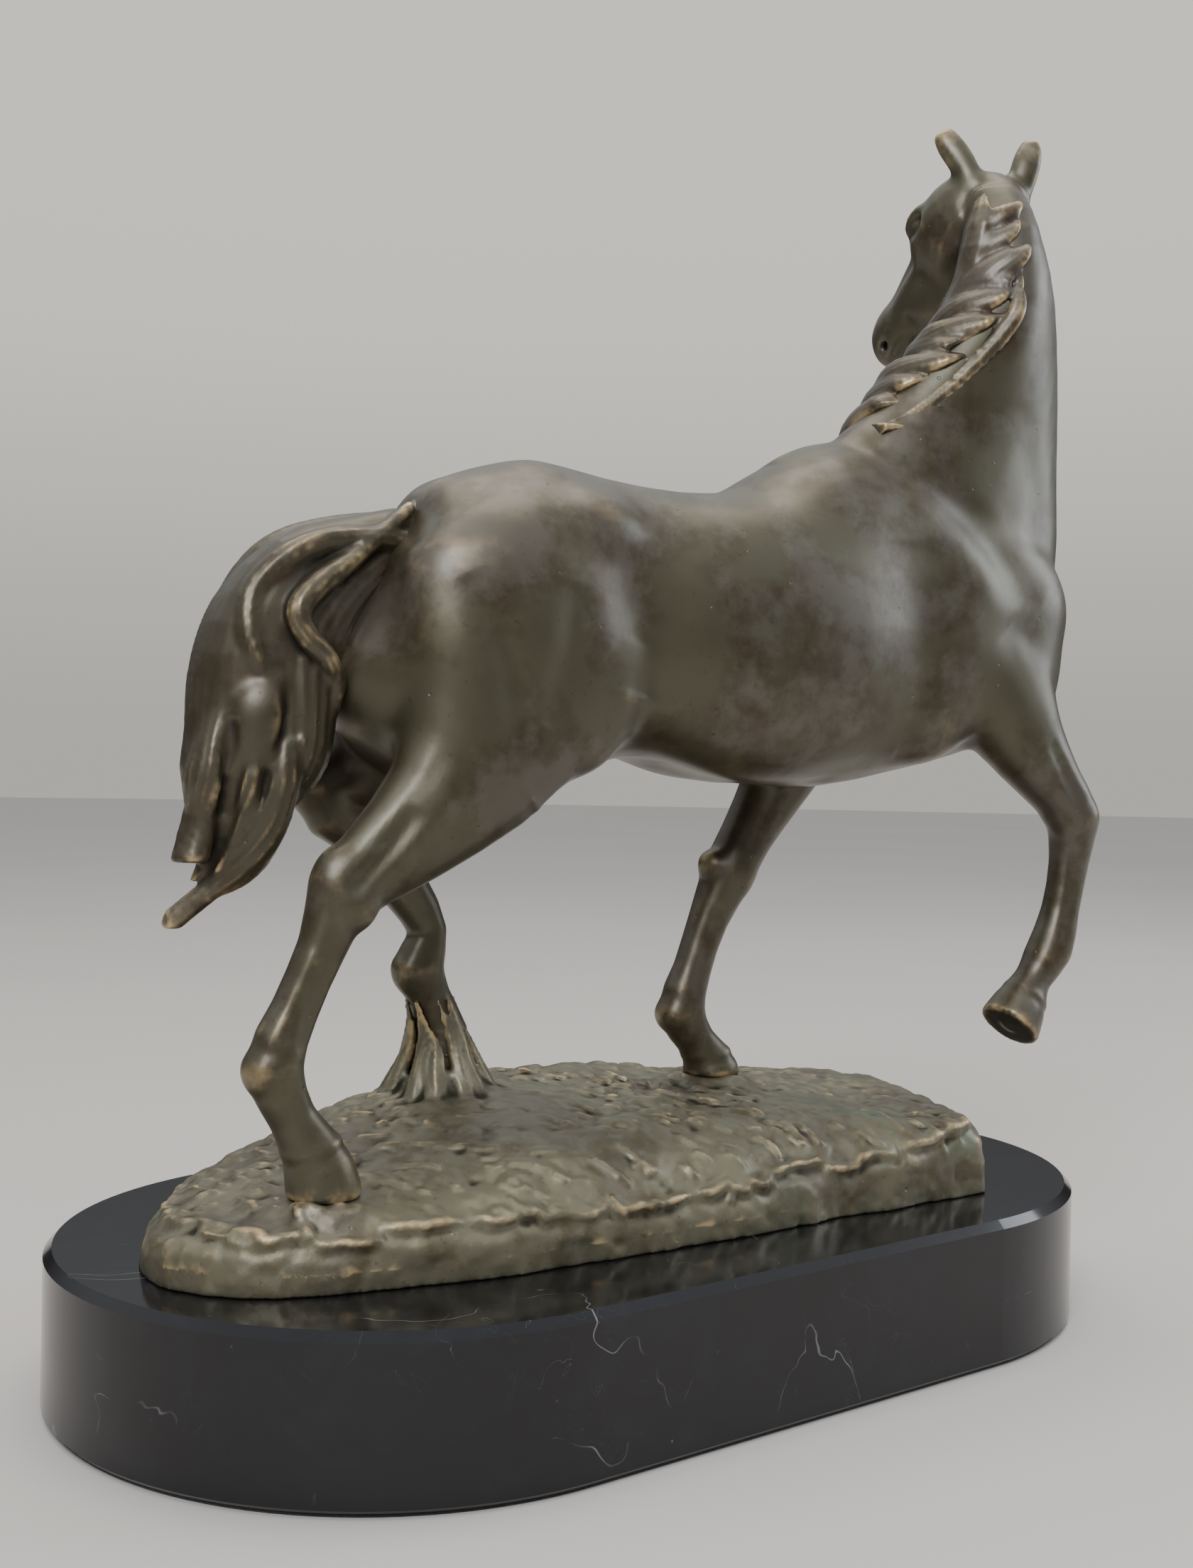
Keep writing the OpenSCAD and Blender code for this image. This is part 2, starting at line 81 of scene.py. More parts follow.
@dataclass(frozen=True)
class HorseSpace:
    """The horse's own space on its base: forward, left and up in millimetres.

    The turn and the side step are those of the castings. The level comes from the left foreleg's box.

    Attributes:
        turn: turn of the horse on its base, anticlockwise from above.
        side_step: how far its middle is to the base's left.
        sole_lift: how far that leg's sole is above the level that the horse stands on.
    """

    turn: float = math.radians(-7.0)
    side_step: float = -14.0 * MM
    sole_lift: float = 2.0 * MM

    def to_world(self, places: Iterable[Place]) -> Array:
        """Turns places of the horse's space into places of the frame.

        Args:
            places: rows of forward, left and up, in millimetres.

        Returns:
            The same places in metres, one row each.
        """
        p = np.atleast_2d(np.array(list(places), float)) * MM
        level = low_of("left_foreleg")[2] - self.sole_lift
        c, s = math.cos(self.turn), math.sin(self.turn)
        return np.stack([p[:, 0] * c - p[:, 1] * s,
                         p[:, 0] * s + p[:, 1] * c + self.side_step,
                         p[:, 2] + level], 1)

    def way(self, step: Place) -> Array:
        """Direction of a step that is given in the horse's space."""
        start, end = self.to_world([(0, 0, 0), step])
        return end - start

    def forward(self) -> Array:
        """Unit vector along the horse."""
        return np.array([math.cos(self.turn), math.sin(self.turn), 0.0])

    def left(self) -> Array:
        """Unit vector to the horse's left."""
        return np.array([-math.sin(self.turn), math.cos(self.turn), 0.0])


HORSE = HorseSpace()


def smooth_path(points: Array, count: int) -> Array:
    """Evenly timed points on a smooth curve through the given ones.

    Args:
        points: rows that the curve passes through, of any width.
        count: how many rows to return.

    Returns:
        Rows along the curve, ends included.
    """
    p = np.asarray(points, float)
    n = len(p) - 1
    t = np.linspace(0, n, count)
    i = np.minimum(t.astype(int), n - 1)
    f = (t - i)[:, None]
    a, b, c, d = (p[np.clip(i + k, 0, n)] for k in (-1, 0, 1, 2))
    return 0.5 * (2 * b + (c - a) * f + (2 * a - 5 * b + 4 * c - d) * f ** 2
                  + (3 * b - a - 3 * c + d) * f ** 3)


def lattice_noise(points: Array, size: float, seed: int, octaves: int = 3) -> Array:
    """Smooth seeded noise from -1 to 1 at each point.

    Args:
        points: rows of x, y and z in metres.
        size: the largest feature, in metres.
        seed: chooses the pattern.
        octaves: how many finer layers are added, each half as strong.

    Returns:
        One value a row.
    """
    rng = np.random.default_rng(seed)
    side = 32
    table = rng.uniform(-1, 1, (side, side, side)).astype(np.float32)
    total = np.zeros(len(points))
    strength, reach = 1.0, 0.0
    for layer in range(octaves):
        q = points / (size / 2 ** layer) + 7.3 * layer
        i = np.floor(q).astype(int)
        f = q - i
        f = f * f * (3 - 2 * f)
        value = np.zeros(len(points))
        near, far = i % side, (i + 1) % side
        for corner in np.ndindex(2, 2, 2):
            k = [(far if c else near)[:, n] for n, c in enumerate(corner)]
            w = [f[:, n] if c else 1 - f[:, n] for n, c in enumerate(corner)]
            value += w[0] * w[1] * w[2] * table[k[0], k[1], k[2]]
        total += strength * value
        reach += strength
        strength *= 0.5
    return total / reach


# ---------------------------------------------------------------- clay

@dataclass
class Clay:
    """Modelling clay: distances to a surface on a regular grid, negative inside.

    Attributes:
        low: lowest corner of the block, in metres.
        high: highest corner of the block.
        grain: distance between grid points.
        reach: distances are kept up to this far from the surface.
    """

    low: Array
    high: Array
    grain: float
    reach: float = 7 * MM
    start: Array = field(init=False)
    depth: Array = field(init=False)

    def __post_init__(self) -> None:
        """Lays out an empty block, with room for swellings round it."""
        spare = 5 * MM
        self.start = np.floor((self.low - spare) / self.grain).astype(int)
        end = np.ceil((self.high + spare) / self.grain).astype(int)
        self.depth = np.full(tuple(end - self.start), self.reach, np.float32)

    def window(self, low: Array, high: Array) -> tuple[tuple[slice, ...], Array]:
        """Part of the grid that covers a box.

        Args:
            low: lowest corner of the box, in metres.
            high: highest corner.

        Returns:
            The slices of that part, and its points as an array with a last axis of x, y, z.
        """
        a = np.clip(np.floor(low / self.grain).astype(int) - self.start, 0, self.depth.shape)
        b = np.clip(np.ceil(high / self.grain).astype(int) + 1 - self.start, 0, self.depth.shape)
        axes = [(np.arange(a[k], b[k]) + self.start[k]) * self.grain for k in range(3)]
        grid = np.stack(np.meshgrid(*axes, indexing="ij"), -1).astype(np.float32)
        return tuple(slice(a[k], b[k]) for k in range(3)), grid

    @staticmethod
    def blended(a: Array, b: Array, width: float) -> Array:
        """Smooth union of two distance blocks, rounded over the given width."""
        h = np.clip(0.5 + 0.5 * (a - b) / width, 0, 1)
        return a + (b - a) * h - width * h * (1 - h)

    def distances(self, points: Array, triangles: Array) -> Array:
        """Distances of the grid points to a closed mesh.

        Args:
            points: rows of x, y, z.
            triangles: rows of three point numbers.

        Returns:
            A block like depth, negative inside the mesh.
        """
        grid = vdb.FloatGrid.createLevelSetFromPolygons(
            points.astype(np.float32), triangles=triangles.astype(np.uint32),
            transform=vdb.createLinearTransform(voxelSize=self.grain), halfWidth=self.reach / self.grain)
        out = np.zeros_like(self.depth)
        grid.copyToArray(out, ijk=tuple(int(v) for v in self.start))
        return out

    def pack_mesh(self, piece: bpy.types.Object, blend: float, shrink: float = 0.0) -> None:
        """Packs a closed mesh into the clay.

        Args:
            piece: the mesh object, at its place.
            blend: width over which the join is rounded.
            shrink: how far the mesh's surface is pulled in first.
        """
        other = self.distances(*mesh_arrays(piece.data)) + np.float32(shrink)
        self.depth = self.blended(self.depth, other, blend).astype(np.float32)

    def fill_hollows(self, bridge: float = 3.8 * MM) -> None:
        """Fills every hollow that no way wider than twice the bridge leads into.

        Args:
            bridge: half the width of the widest bore that counts as closed.
        """
        free = self.depth > bridge
        open_air = free.copy()
        open_air[1:-1, 1:-1, 1:-1] = False
        size = 0
        while size != (size := int(open_air.sum())):
            for axis in range(3):
                air = np.moveaxis(open_air, axis, 0)
                before = air.copy()
                air[1:] |= before[:-1]
                air[:-1] |= before[1:]
            open_air &= free
        core = free & ~open_air
        if core.any():
            kept = self.depth
            self.depth = np.where(core, -self.grain, self.grain).astype(np.float32)
            self.depth = np.minimum(kept, self.solid() - np.float32(bridge + 1 * MM))
        self.depth = self.solid()

    def solid(self) -> Array:
        """Distances to the largest closed surface, as if nothing were hollow behind it."""
        points, quads = self.surface()
        return self.distances(points, np.concatenate([quads[:, [0, 1, 2]], quads[:, [0, 2, 3]]]))

    def ball(self, centre: Place, radii: Place, blend: float, axes: Array | None = None,
             cut: bool = False) -> None:
        """Adds or cuts an egg-shaped lump.

        Args:
            centre: its middle, in the frame.
            radii: half sizes along its three axes.
            blend: width of the rounding.
            axes: rows are its axes, the horse's own when left out.
            cut: True takes clay away.
        """
        middle = np.asarray(centre, float)
        rows = np.stack([HORSE.forward(), HORSE.left(), [0, 0, 1]]) if axes is None else axes
        room = max(radii) + blend + 2 * self.grain
        part, grid = self.window(middle - room, middle + room)
        local = (grid - middle.astype(np.float32)) @ rows.T.astype(np.float32)
        r = np.asarray(radii, np.float32)
        k0 = np.linalg.norm(local / r, axis=-1)
        k1 = np.linalg.norm(local / (r * r), axis=-1)
        lump = k0 * (k0 - 1) / np.maximum(k1, 1e-6)
        old = self.depth[part]
        new = -self.blended(-old, lump, blend) if cut else self.blended(old, lump, blend)
        self.depth[part] = np.where(lump < blend, new, old)

    def along(self, line: Array, room: float) -> tuple[tuple[slice, ...], Array, Array, Array, Array]:
        """Finds the nearest place on a path for the grid points near it.

        Args:
            line: rows of the path, in the frame.
            room: how far from the path points are looked at.

        Returns:
            The slices of the block, and for each of its points the distance to the path, the share of
            the path's length, the number of the nearest stretch, and the offset from the path.
        """
        part, grid = self.window(line.min(0) - room, line.max(0) + room)
        gap = np.full(grid.shape[:3], 1e3, np.float32)
        share = np.zeros_like(gap)
        stretch = np.zeros(gap.shape, np.int32)
        offset = np.zeros(grid.shape, np.float32)
        for i in range(len(line) - 1):
            a, b = line[i].astype(np.float32), line[i + 1].astype(np.float32)
            near = self.window(np.minimum(a, b) - room, np.maximum(a, b) + room)[0]
            here = tuple(slice(n.start - p.start, n.stop - p.start) for n, p in zip(near, part))
            away = grid[here] - a
            t = np.clip(away @ (b - a) / max(float((b - a) @ (b - a)), 1e-12), 0, 1)
            away = away - t[..., None] * (b - a)
            length = np.linalg.norm(away, axis=-1)
            closer = length < gap[here]
            gap[here] = np.where(closer, length, gap[here])
            share[here] = np.where(closer, (i + t) / (len(line) - 1), share[here])
            stretch[here] = np.where(closer, i, stretch[here])
            offset[here] = np.where(closer[..., None], away, offset[here])
        return part, gap, share, stretch, offset

    def stroke(self, path: Array, width: float, height: float, taper: bool = True) -> None:
        """Raises the surface along a path, or presses it in where height is negative.

        Args:
            path: rows of places on the surface, in the frame.
            width: half width of the stroke.
            height: how far the surface moves.
            taper: True fades the stroke towards both ends.
        """
        line = smooth_path(path, 4 * len(path)) if len(path) > 2 else np.asarray(path, float)
        part, gap, share, _, _ = self.along(line, 2.4 * width + self.grain)
        fade = np.sqrt(np.clip(np.sin(np.pi * share), 0, 1)) if taper else 1.0
        self.depth[part] -= (height * fade * np.exp(-(gap / width) ** 2)).astype(np.float32)

    def lock(self, path: Array, radii: Sequence[float], out: Array, blend: float, flat: float = 0.75,
             strands: int = 0, groove: float = 0.0, drift: float = 1.0) -> None:
        """Lays on a tapered lock of hair with combed strands.

        Args:
            path: rows along the middle of the lock, in the frame.
            radii: half width at each row.
            out: direction that the lock's flat face looks to.
            blend: width over which it joins what is there.
            flat: thickness as a share of the width.
            strands: how many strands lie round the lock.
            groove: depth of the grooves between them, in metres.
            drift: how many strands the grooves wander along the lock.
        """
        rows = smooth_path(np.column_stack([path, radii]), 5 * len(path))
        line, width = rows[:, :3], rows[:, 3]
        part, gap, share, stretch, offset = self.along(line, float(width.max()) + blend + 3 * self.grain)
        step = np.diff(line, axis=0)
        side = np.cross(out, step)
        side /= np.linalg.norm(side, axis=1)[:, None]
        face = np.cross(step, side)
        face /= np.linalg.norm(face, axis=1)[:, None]
        x = (offset * side[stretch]).sum(-1)
        y = (offset * face[stretch]).sum(-1)
        r = np.interp(share, np.linspace(0, 1, len(width)), width)
        turn = np.arctan2(y / flat, x) * strands / 2 + drift * np.sin(2 * np.pi * share + strands)
        edge = r - groove * np.abs(np.cos(turn)) if strands else r
        skin = np.where(gap < 1, (np.sqrt(x * x + (y / flat) ** 2 + 1e-14) - edge) * flat, self.reach)
        old = self.depth[part]
        new = self.blended(old, skin.astype(np.float32), blend)
        self.depth[part] = np.where(skin < blend, new, old)

    def soften(self, reach: float, where: Array | None = None) -> None:
        """Smooths the surface.

        Args:
            reach: width of the smoothing, in metres.
            where: share of the smoothing at each grid point, all of it when left out.
        """
        sigma = reach / self.grain
        half = max(1, math.ceil(2.2 * sigma))
        kernel = np.exp(-0.5 * (np.arange(-half, half + 1) / sigma) ** 2)
        kernel /= kernel.sum()
        out = self.depth
        for axis in range(3):
            padded = np.pad(out, [(half, half) if k == axis else (0, 0) for k in range(3)], mode="edge")
            size = out.shape[axis]
            total = np.zeros_like(out)
            for k, weight in enumerate(kernel):
                cut = [slice(None)] * 3
                cut[axis] = slice(k, k + size)
                total += np.float32(weight) * padded[tuple(cut)]
            out = total
        self.depth = out if where is None else self.depth + (out - self.depth) * where

    def points(self) -> Array:
        """Every grid point of the block, with a last axis of x, y, z."""
        return self.window(self.start * self.grain,
                           (self.start + np.array(self.depth.shape) - 1) * self.grain)[1]

    def surface(self) -> tuple[Array, Array]:
        """Points and quads of the clay's largest closed surface."""
        grid = vdb.FloatGrid(float(self.reach))
        grid.transform = vdb.createLinearTransform(voxelSize=self.grain)
        grid.copyFromArray(self.depth.astype(np.float32), ijk=tuple(int(v) for v in self.start))
        points, quads = grid.convertToQuads(isovalue=0.0)
        return largest_surface(points, quads)

    def to_mesh(self, name: str, most: int = 190_000) -> bpy.types.Object:
        """Skins the clay, thins the mesh and notes where it is raised and where it is hollow.

        Args:
            name: name of the new object.
            most: the largest number of triangles.

        Returns:
            The mesh object.
        """
        piece = new_mesh(name, *self.surface())
        triangles = 2 * len(piece.data.polygons)
        if triangles > most:
            thin = piece.modifiers.new("thin", "DECIMATE")
            thin.ratio = most / triangles
            apply_modifiers(piece)
        note_relief(piece.data)
        return piece


def apply_modifiers(piece: bpy.types.Object) -> None:
    """Turns an object's modifiers into plain mesh."""
    graph = bpy.context.evaluated_depsgraph_get()
    mesh = bpy.data.meshes.new_from_object(piece.evaluated_get(graph))
    piece.modifiers.clear()
    old = piece.data
    piece.data = mesh
    bpy.data.meshes.remove(old)
    mesh.name = piece.name
    mesh.polygons.foreach_set("use_smooth", [True] * len(mesh.polygons))


def read(items: bpy.types.bpy_prop_collection, name: str, kind: type = np.float32, width: int = 3) -> Array:
    """Reads one property of every item.

    Args:
        items: the mesh's points, edges or triangles.
        name: name of the property.
        kind: type of the numbers.
        width: how many numbers an item has.

    Returns:
        A row for each item.
    """
    values = np.empty(len(items) * width, kind)
    items.foreach_get(name, values)
    return values.reshape(-1, width)


def note_relief(mesh: bpy.types.Mesh) -> None:
    """Writes how far each point stands out from its smoothed surroundings, at two sizes.

    The attributes "fine_relief" and "broad_relief" are in millimetres, positive on ridges.

    Args:
        mesh: the mesh, which gets the two attributes.
    """
    count = len(mesh.vertices)
    points = read(mesh.vertices, "co").astype(float)
    normals = read(mesh.vertex_normals, "vector")
    a, b = read(mesh.edges, "vertices", np.int32, 2).T
    valence = np.maximum(np.bincount(a, minlength=count) + np.bincount(b, minlength=count), 1)
    moved = points.copy()
    for name, rounds in RELIEF_ROUNDS.items():
        for _ in range(rounds):
            for k in range(3):
                total = np.bincount(a, moved[b, k], count) + np.bincount(b, moved[a, k], count)
                moved[:, k] = 0.5 * moved[:, k] + 0.5 * total / valence
        value = ((points - moved) * normals).sum(1) / MM
        note = mesh.attributes.new(name, "FLOAT", "POINT")
        note.data.foreach_set("value", value.astype(np.float32))


def mesh_arrays(mesh: bpy.types.Mesh) -> tuple[Array, Array]:
    """Points and triangles of a mesh.

    Args:
        mesh: the mesh to read.

    Returns:
        An array of points and one of triangles.
    """
    mesh.calc_loop_triangles()
    return read(mesh.vertices, "co"), read(mesh.loop_triangles, "vertices", np.int32).astype(np.uint32)


def largest_surface(points: Array, quads: Array) -> tuple[Array, Array]:
    """Keeps the connected surface with the largest box, and drops the hollows inside.

    Args:
        points: rows of x, y, z.
        quads: rows of four point numbers.

    Returns:
        The points and quads that are kept.
    """
    label = np.arange(len(points))
    while True:
        low = label[quads].min(1)
        new = label.copy()
        for k in range(4):
            new[quads[:, k]] = np.minimum(new[quads[:, k]], low)
        new = new[new]
        if np.array_equal(new, label):
            break
        label = new
    names, place = np.unique(label, return_inverse=True)
    span = np.zeros(len(names))
    for k in range(3):
        top = np.full(len(names), -1e9)
        bottom = np.full(len(names), 1e9)
        np.maximum.at(top, place, points[:, k])
        np.minimum.at(bottom, place, points[:, k])
        span += top - bottom
    keep = place == span.argmax()
    number = np.cumsum(keep) - 1
    kept = quads[keep[quads[:, 0]]]
    return points[keep], number[kept]


def new_mesh(name: str, points: Array, faces: Array | list, smooth: bool = True) -> bpy.types.Object:
    """Makes a mesh object in the scene.

    Args:
        name: its name.
        points: rows of x, y, z in metres.
        faces: rows of point numbers.
        smooth: True shades it smooth.

    Returns:
        The object.
    """
    mesh = bpy.data.meshes.new(name)
    faces = faces.tolist() if isinstance(faces, np.ndarray) else faces
    mesh.from_pydata(np.asarray(points, float).tolist(), [], faces)
    mesh.polygons.foreach_set("use_smooth", [smooth] * len(mesh.polygons))
    mesh.update()
    piece = bpy.data.objects.new(name, mesh)
    bpy.context.scene.collection.objects.link(piece)
    return piece


# ---------------------------------------------------------------- finishes

def tone(red: int, green: int, blue: int) -> Colour:
    """A colour given as it looks on a screen, from 0 to 255, as light values."""
    def light(v: int) -> float:
        """One channel as a light value."""
        c = v / 255
        return c / 12.92 if c <= 0.04045 else ((c + 0.055) / 1.055) ** 2.4
    return light(red), light(green), light(blue), 1.0


@dataclass
class NodeBench:
    """Puts nodes into one tree and joins them up."""

    tree: bpy.types.NodeTree

    def add(self, kind: str, feeds: dict | None = None, **settings: object) -> bpy.types.Node:
        """Adds a node.

        Args:
            kind: the node's type.
            feeds: for each input, by name or number, a value or the socket that feeds it.
            settings: properties of the node.

        Returns:
            The node.
        """
        node = self.tree.nodes.new(kind)
        for key, value in settings.items():
            setattr(node, key, value)
        for key, value in (feeds or {}).items():
            if isinstance(value, bpy.types.NodeSocket):
                self.tree.links.new(value, node.inputs[key])
            else:
                node.inputs[key].default_value = value
        return node

    def maths(self, operation: str, *values: object) -> bpy.types.NodeSocket:
        """Result of a maths node on up to three values or sockets."""
        return self.add("ShaderNodeMath", dict(enumerate(values)), operation=operation).outputs[0]

    def ramp(self, value: object, low: object, high: object) -> bpy.types.NodeSocket:
        """A value turned into 0 at low and 1 at high, with a smooth start and stop."""
        node = self.add("ShaderNodeMapRange", {"Value": value, "From Min": low, "From Max": high},
                        interpolation_type="SMOOTHSTEP")
        return node.outputs["Result"]

    def mixed(self, share: object, first: object, second: object, way: str = "MIX") -> bpy.types.NodeSocket:
        """Two colours mixed by a share."""
        node = self.add("ShaderNodeMix", {0: share, 6: first, 7: second}, data_type="RGBA", blend_type=way)
        return node.outputs[2]

    def place(self) -> bpy.types.NodeSocket:
        """Place in the frame, in metres."""
        return self.add("ShaderNodeNewGeometry").outputs["Position"]

    def cloud(self, size: object, detail: float = 4.0, rough: float = 0.55, kind: str = "Noise",
              twist: float = 0.0) -> bpy.types.Node:
        """A noise or cell node whose features have about the given size in metres."""
        scale = self.maths("DIVIDE", 1.0, size) if isinstance(size, bpy.types.NodeSocket) else 1.0 / size
        if kind == "Noise":
            feeds = {"Vector": self.place(), "Scale": scale, "Detail": detail, "Roughness": rough,
                     "Distortion": twist}
            return self.add("ShaderNodeTexNoise", feeds)
        return self.add("ShaderNodeTexVoronoi", {"Vector": self.place(), "Scale": scale})


def feed(bench: NodeBench, node: bpy.types.Node, **feeds: object) -> None:
    """Sets or links inputs of a node, with low lines for spaces in their names."""
    for key, value in feeds.items():
        socket = node.inputs[key.replace("_", " ")]
        if isinstance(value, bpy.types.NodeSocket):
            bench.tree.links.new(value, socket)
        else:
            socket.default_value = value


class Effect(Enum):
    """Surface effects that more than one finish uses."""
    # The rubbed edges are worn metal; the recess shade is painted shade.

    RUB_AND_PAINTED_SHADE = "Edge rub and recess shade"
    PATINA = "Mottled patina"
    GRAIN = "Casting grain"
    VEINS = "Stone veins"


class EffectShelf:
    """Makes each effect's node group once and hands it out."""

    def __init__(self) -> None:
        """Starts with an empty shelf."""
        self.made: dict[Effect, bpy.types.NodeTree] = {}

    def group(self, effect: Effect) -> bpy.types.NodeTree:
        """Node group of an effect, made when it is first asked for."""
        if effect not in self.made:
            makers = {Effect.RUB_AND_PAINTED_SHADE: self.make_rub_and_painted_shade, Effect.PATINA: self.make_patina,
                      Effect.GRAIN: self.make_grain, Effect.VEINS: self.make_veins}
            self.made[effect] = makers[effect]()
        return self.made[effect]

    def use(self, bench: NodeBench, effect: Effect, **feeds: object) -> bpy.types.Node:
        """Places an effect in a material.

        Args:
            bench: the material's bench.
            effect: which effect.
            feeds: the group's inputs, with low lines for spaces in their names.

        Returns:
            The group node.
        """
        node = bench.add("ShaderNodeGroup", node_tree=self.group(effect))
        feed(bench, node, **feeds)
        return node

    @staticmethod
    def blank(effect: Effect, takes: dict, gives: dict[str, str]) -> tuple[NodeBench, dict, dict]:
        """Starts a node group.

        Args:
            effect: names the group.
            takes: each input's name and starting value, where four numbers make a colour.
            gives: each output's name and kind, "Color" or "Float".

        Returns:
            The bench, the sockets of its inputs, and the input sockets of its outputs.
        """
        tree = bpy.data.node_groups.new(effect.value, "ShaderNodeTree")
        for name, value in takes.items():
            kind = "NodeSocketColor" if isinstance(value, tuple) else "NodeSocketFloat"
            tree.interface.new_socket(name, in_out="INPUT", socket_type=kind).default_value = value
        for name, kind in gives.items():
            tree.interface.new_socket(name, in_out="OUTPUT", socket_type="NodeSocket" + kind)
        enter = tree.nodes.new("NodeGroupInput").outputs
        leave = tree.nodes.new("NodeGroupOutput").inputs
        return NodeBench(tree), {n: enter[n] for n in takes}, {n: leave[n] for n in gives}

    def make_rub_and_painted_shade(self) -> bpy.types.NodeTree:
        """Rubbed ridges, and painted shade in the recesses, from the relief noted on the mesh.

        Returns:
            The group. Rub is 1 on worn ridges, and Shade, the painted shade, is 1 deep in a recess.
        """
        takes = {"Rub start": 0.05, "Rub end": 0.25, "Shade start": 0.05, "Shade end": 0.6,
                 "Patch size": 0.006}
        b, at, to = self.blank(Effect.RUB_AND_PAINTED_SHADE, takes, {"Rub": "Float", "Shade": "Float"})
        fine = b.add("ShaderNodeAttribute", attribute_name="fine_relief").outputs["Fac"]
        broad = b.add("ShaderNodeAttribute", attribute_name="broad_relief").outputs["Fac"]
        patch = b.ramp(b.cloud(at["Patch size"]).outputs["Fac"], 0.36, 0.62)
        high = b.maths("ADD", fine, b.maths("MULTIPLY", broad, 0.18))
        rub = b.maths("MULTIPLY", b.ramp(high, at["Rub start"], at["Rub end"]), patch)
        # Painted shade: the recesses of the noted relief get a mask that darkens them.
        deep = b.maths("MULTIPLY", b.maths("ADD", broad, b.maths("MULTIPLY", fine, 1.5)), -1.0)
        shade = b.ramp(deep, at["Shade start"], at["Shade end"])
        b.tree.links.new(rub, to["Rub"])
        b.tree.links.new(shade, to["Shade"])
        return b.tree

    def make_patina(self) -> bpy.types.NodeTree:
        """Three tones of patina in soft clouds, with small dark freckles.

        Returns:
            The group.
        """
        takes = {"Base": tone(95, 88, 72), "Brown": tone(84, 66, 40), "Pale": tone(120, 116, 104),
                 "Size": 0.03, "Brown share": 0.5, "Pale share": 0.5}
        b, at, to = self.blank(Effect.PATINA, takes, {"Color": "Color"})
        wide = b.cloud(at["Size"], 3.0, 0.55, twist=0.6).outputs["Fac"]
        small = b.cloud(b.maths("MULTIPLY", at["Size"], 0.23), 5.0, 0.65).outputs["Fac"]
        warm = b.ramp(b.maths("MULTIPLY_ADD", small, 0.35, wide), 0.6, 0.8)
        waxy = b.ramp(b.maths("MULTIPLY_ADD", small, -0.4, wide), 0.28, 0.45)
        brown = b.maths("MULTIPLY", warm, at["Brown share"])
        pale = b.maths("MULTIPLY", waxy, at["Pale share"])
        colour = b.mixed(brown, at["Base"], at["Brown"])
        colour = b.mixed(pale, colour, at["Pale"])
        freckle = b.ramp(b.cloud(0.0016, 2.0, 0.5).outputs["Fac"], 0.66, 0.74)
        colour = b.mixed(b.maths("MULTIPLY", freckle, 0.35), colour, tone(46, 40, 30))
        b.tree.links.new(colour, to["Color"])
        return b.tree

    def make_grain(self) -> bpy.types.NodeTree:
        """Fine orange-peel of a chased casting, with scattered pin holes.

        Returns:
            The group, with its height in millimetres.
        """
        takes = {"Peel": 0.03, "Peel size": 0.0022, "Pits": 0.12}
        b, at, to = self.blank(Effect.GRAIN, takes, {"Height": "Float"})
        peel = b.maths("MULTIPLY", b.cloud(at["Peel size"], 5.0, 0.62).outputs["Fac"], at["Peel"])
        cell = b.cloud(0.0052, kind="Cells")
        hole = b.ramp(cell.outputs["Distance"], 0.11, 0.05)
        some = b.ramp(b.cloud(0.011, 2.0).outputs["Fac"], 0.52, 0.6)
        pit = b.maths("MULTIPLY", b.maths("MULTIPLY", hole, some), at["Pits"])
        b.tree.links.new(b.maths("SUBTRACT", peel, pit), to["Height"])
        return b.tree

    def make_veins(self) -> bpy.types.NodeTree:
        """Fine broken veins in dark stone, with cloudy crystal underneath.

        Returns:
            The group. Vein is the mask of the veins, and Cloud that of the crystal.
        """
        takes = {"Size": 0.05, "Width": 0.012}
        b, at, to = self.blank(Effect.VEINS, takes, {"Vein": "Float", "Cloud": "Float"})
        lines = []
        for share, twist in ((1.0, 1.4), (0.37, 2.3)):
            size = b.maths("MULTIPLY", at["Size"], share)
            level = b.cloud(size, 3.0, 0.5, twist=twist).outputs["Fac"]
            gap = b.maths("ABSOLUTE", b.maths("SUBTRACT", level, 0.5))
            lines.append(b.ramp(gap, b.maths("MULTIPLY", at["Width"], share), 0.0))
        broken = b.ramp(b.cloud(0.021, 4.0).outputs["Fac"], 0.5, 0.68)
        vein = b.maths("MULTIPLY", b.maths("MAXIMUM", lines[0], b.maths("MULTIPLY", lines[1], 0.5)), broken)
        cloud = b.ramp(b.cloud(0.014, 8.0, 0.7, twist=1.0).outputs["Fac"], 0.42, 0.75)
        b.tree.links.new(vein, to["Vein"])
        b.tree.links.new(cloud, to["Cloud"])
        return b.tree


SHELF = EffectShelf()


def new_material(name: str) -> tuple[bpy.types.Material, NodeBench, bpy.types.Node]:
    """Starts a material.

    Args:
        name: its name.

    Returns:
        The material, a bench for its nodes, and its Principled shader.
    """
    material = bpy.data.materials.new(name)
    material.use_nodes = True
    return material, NodeBench(material.node_tree), material.node_tree.nodes["Principled BSDF"]


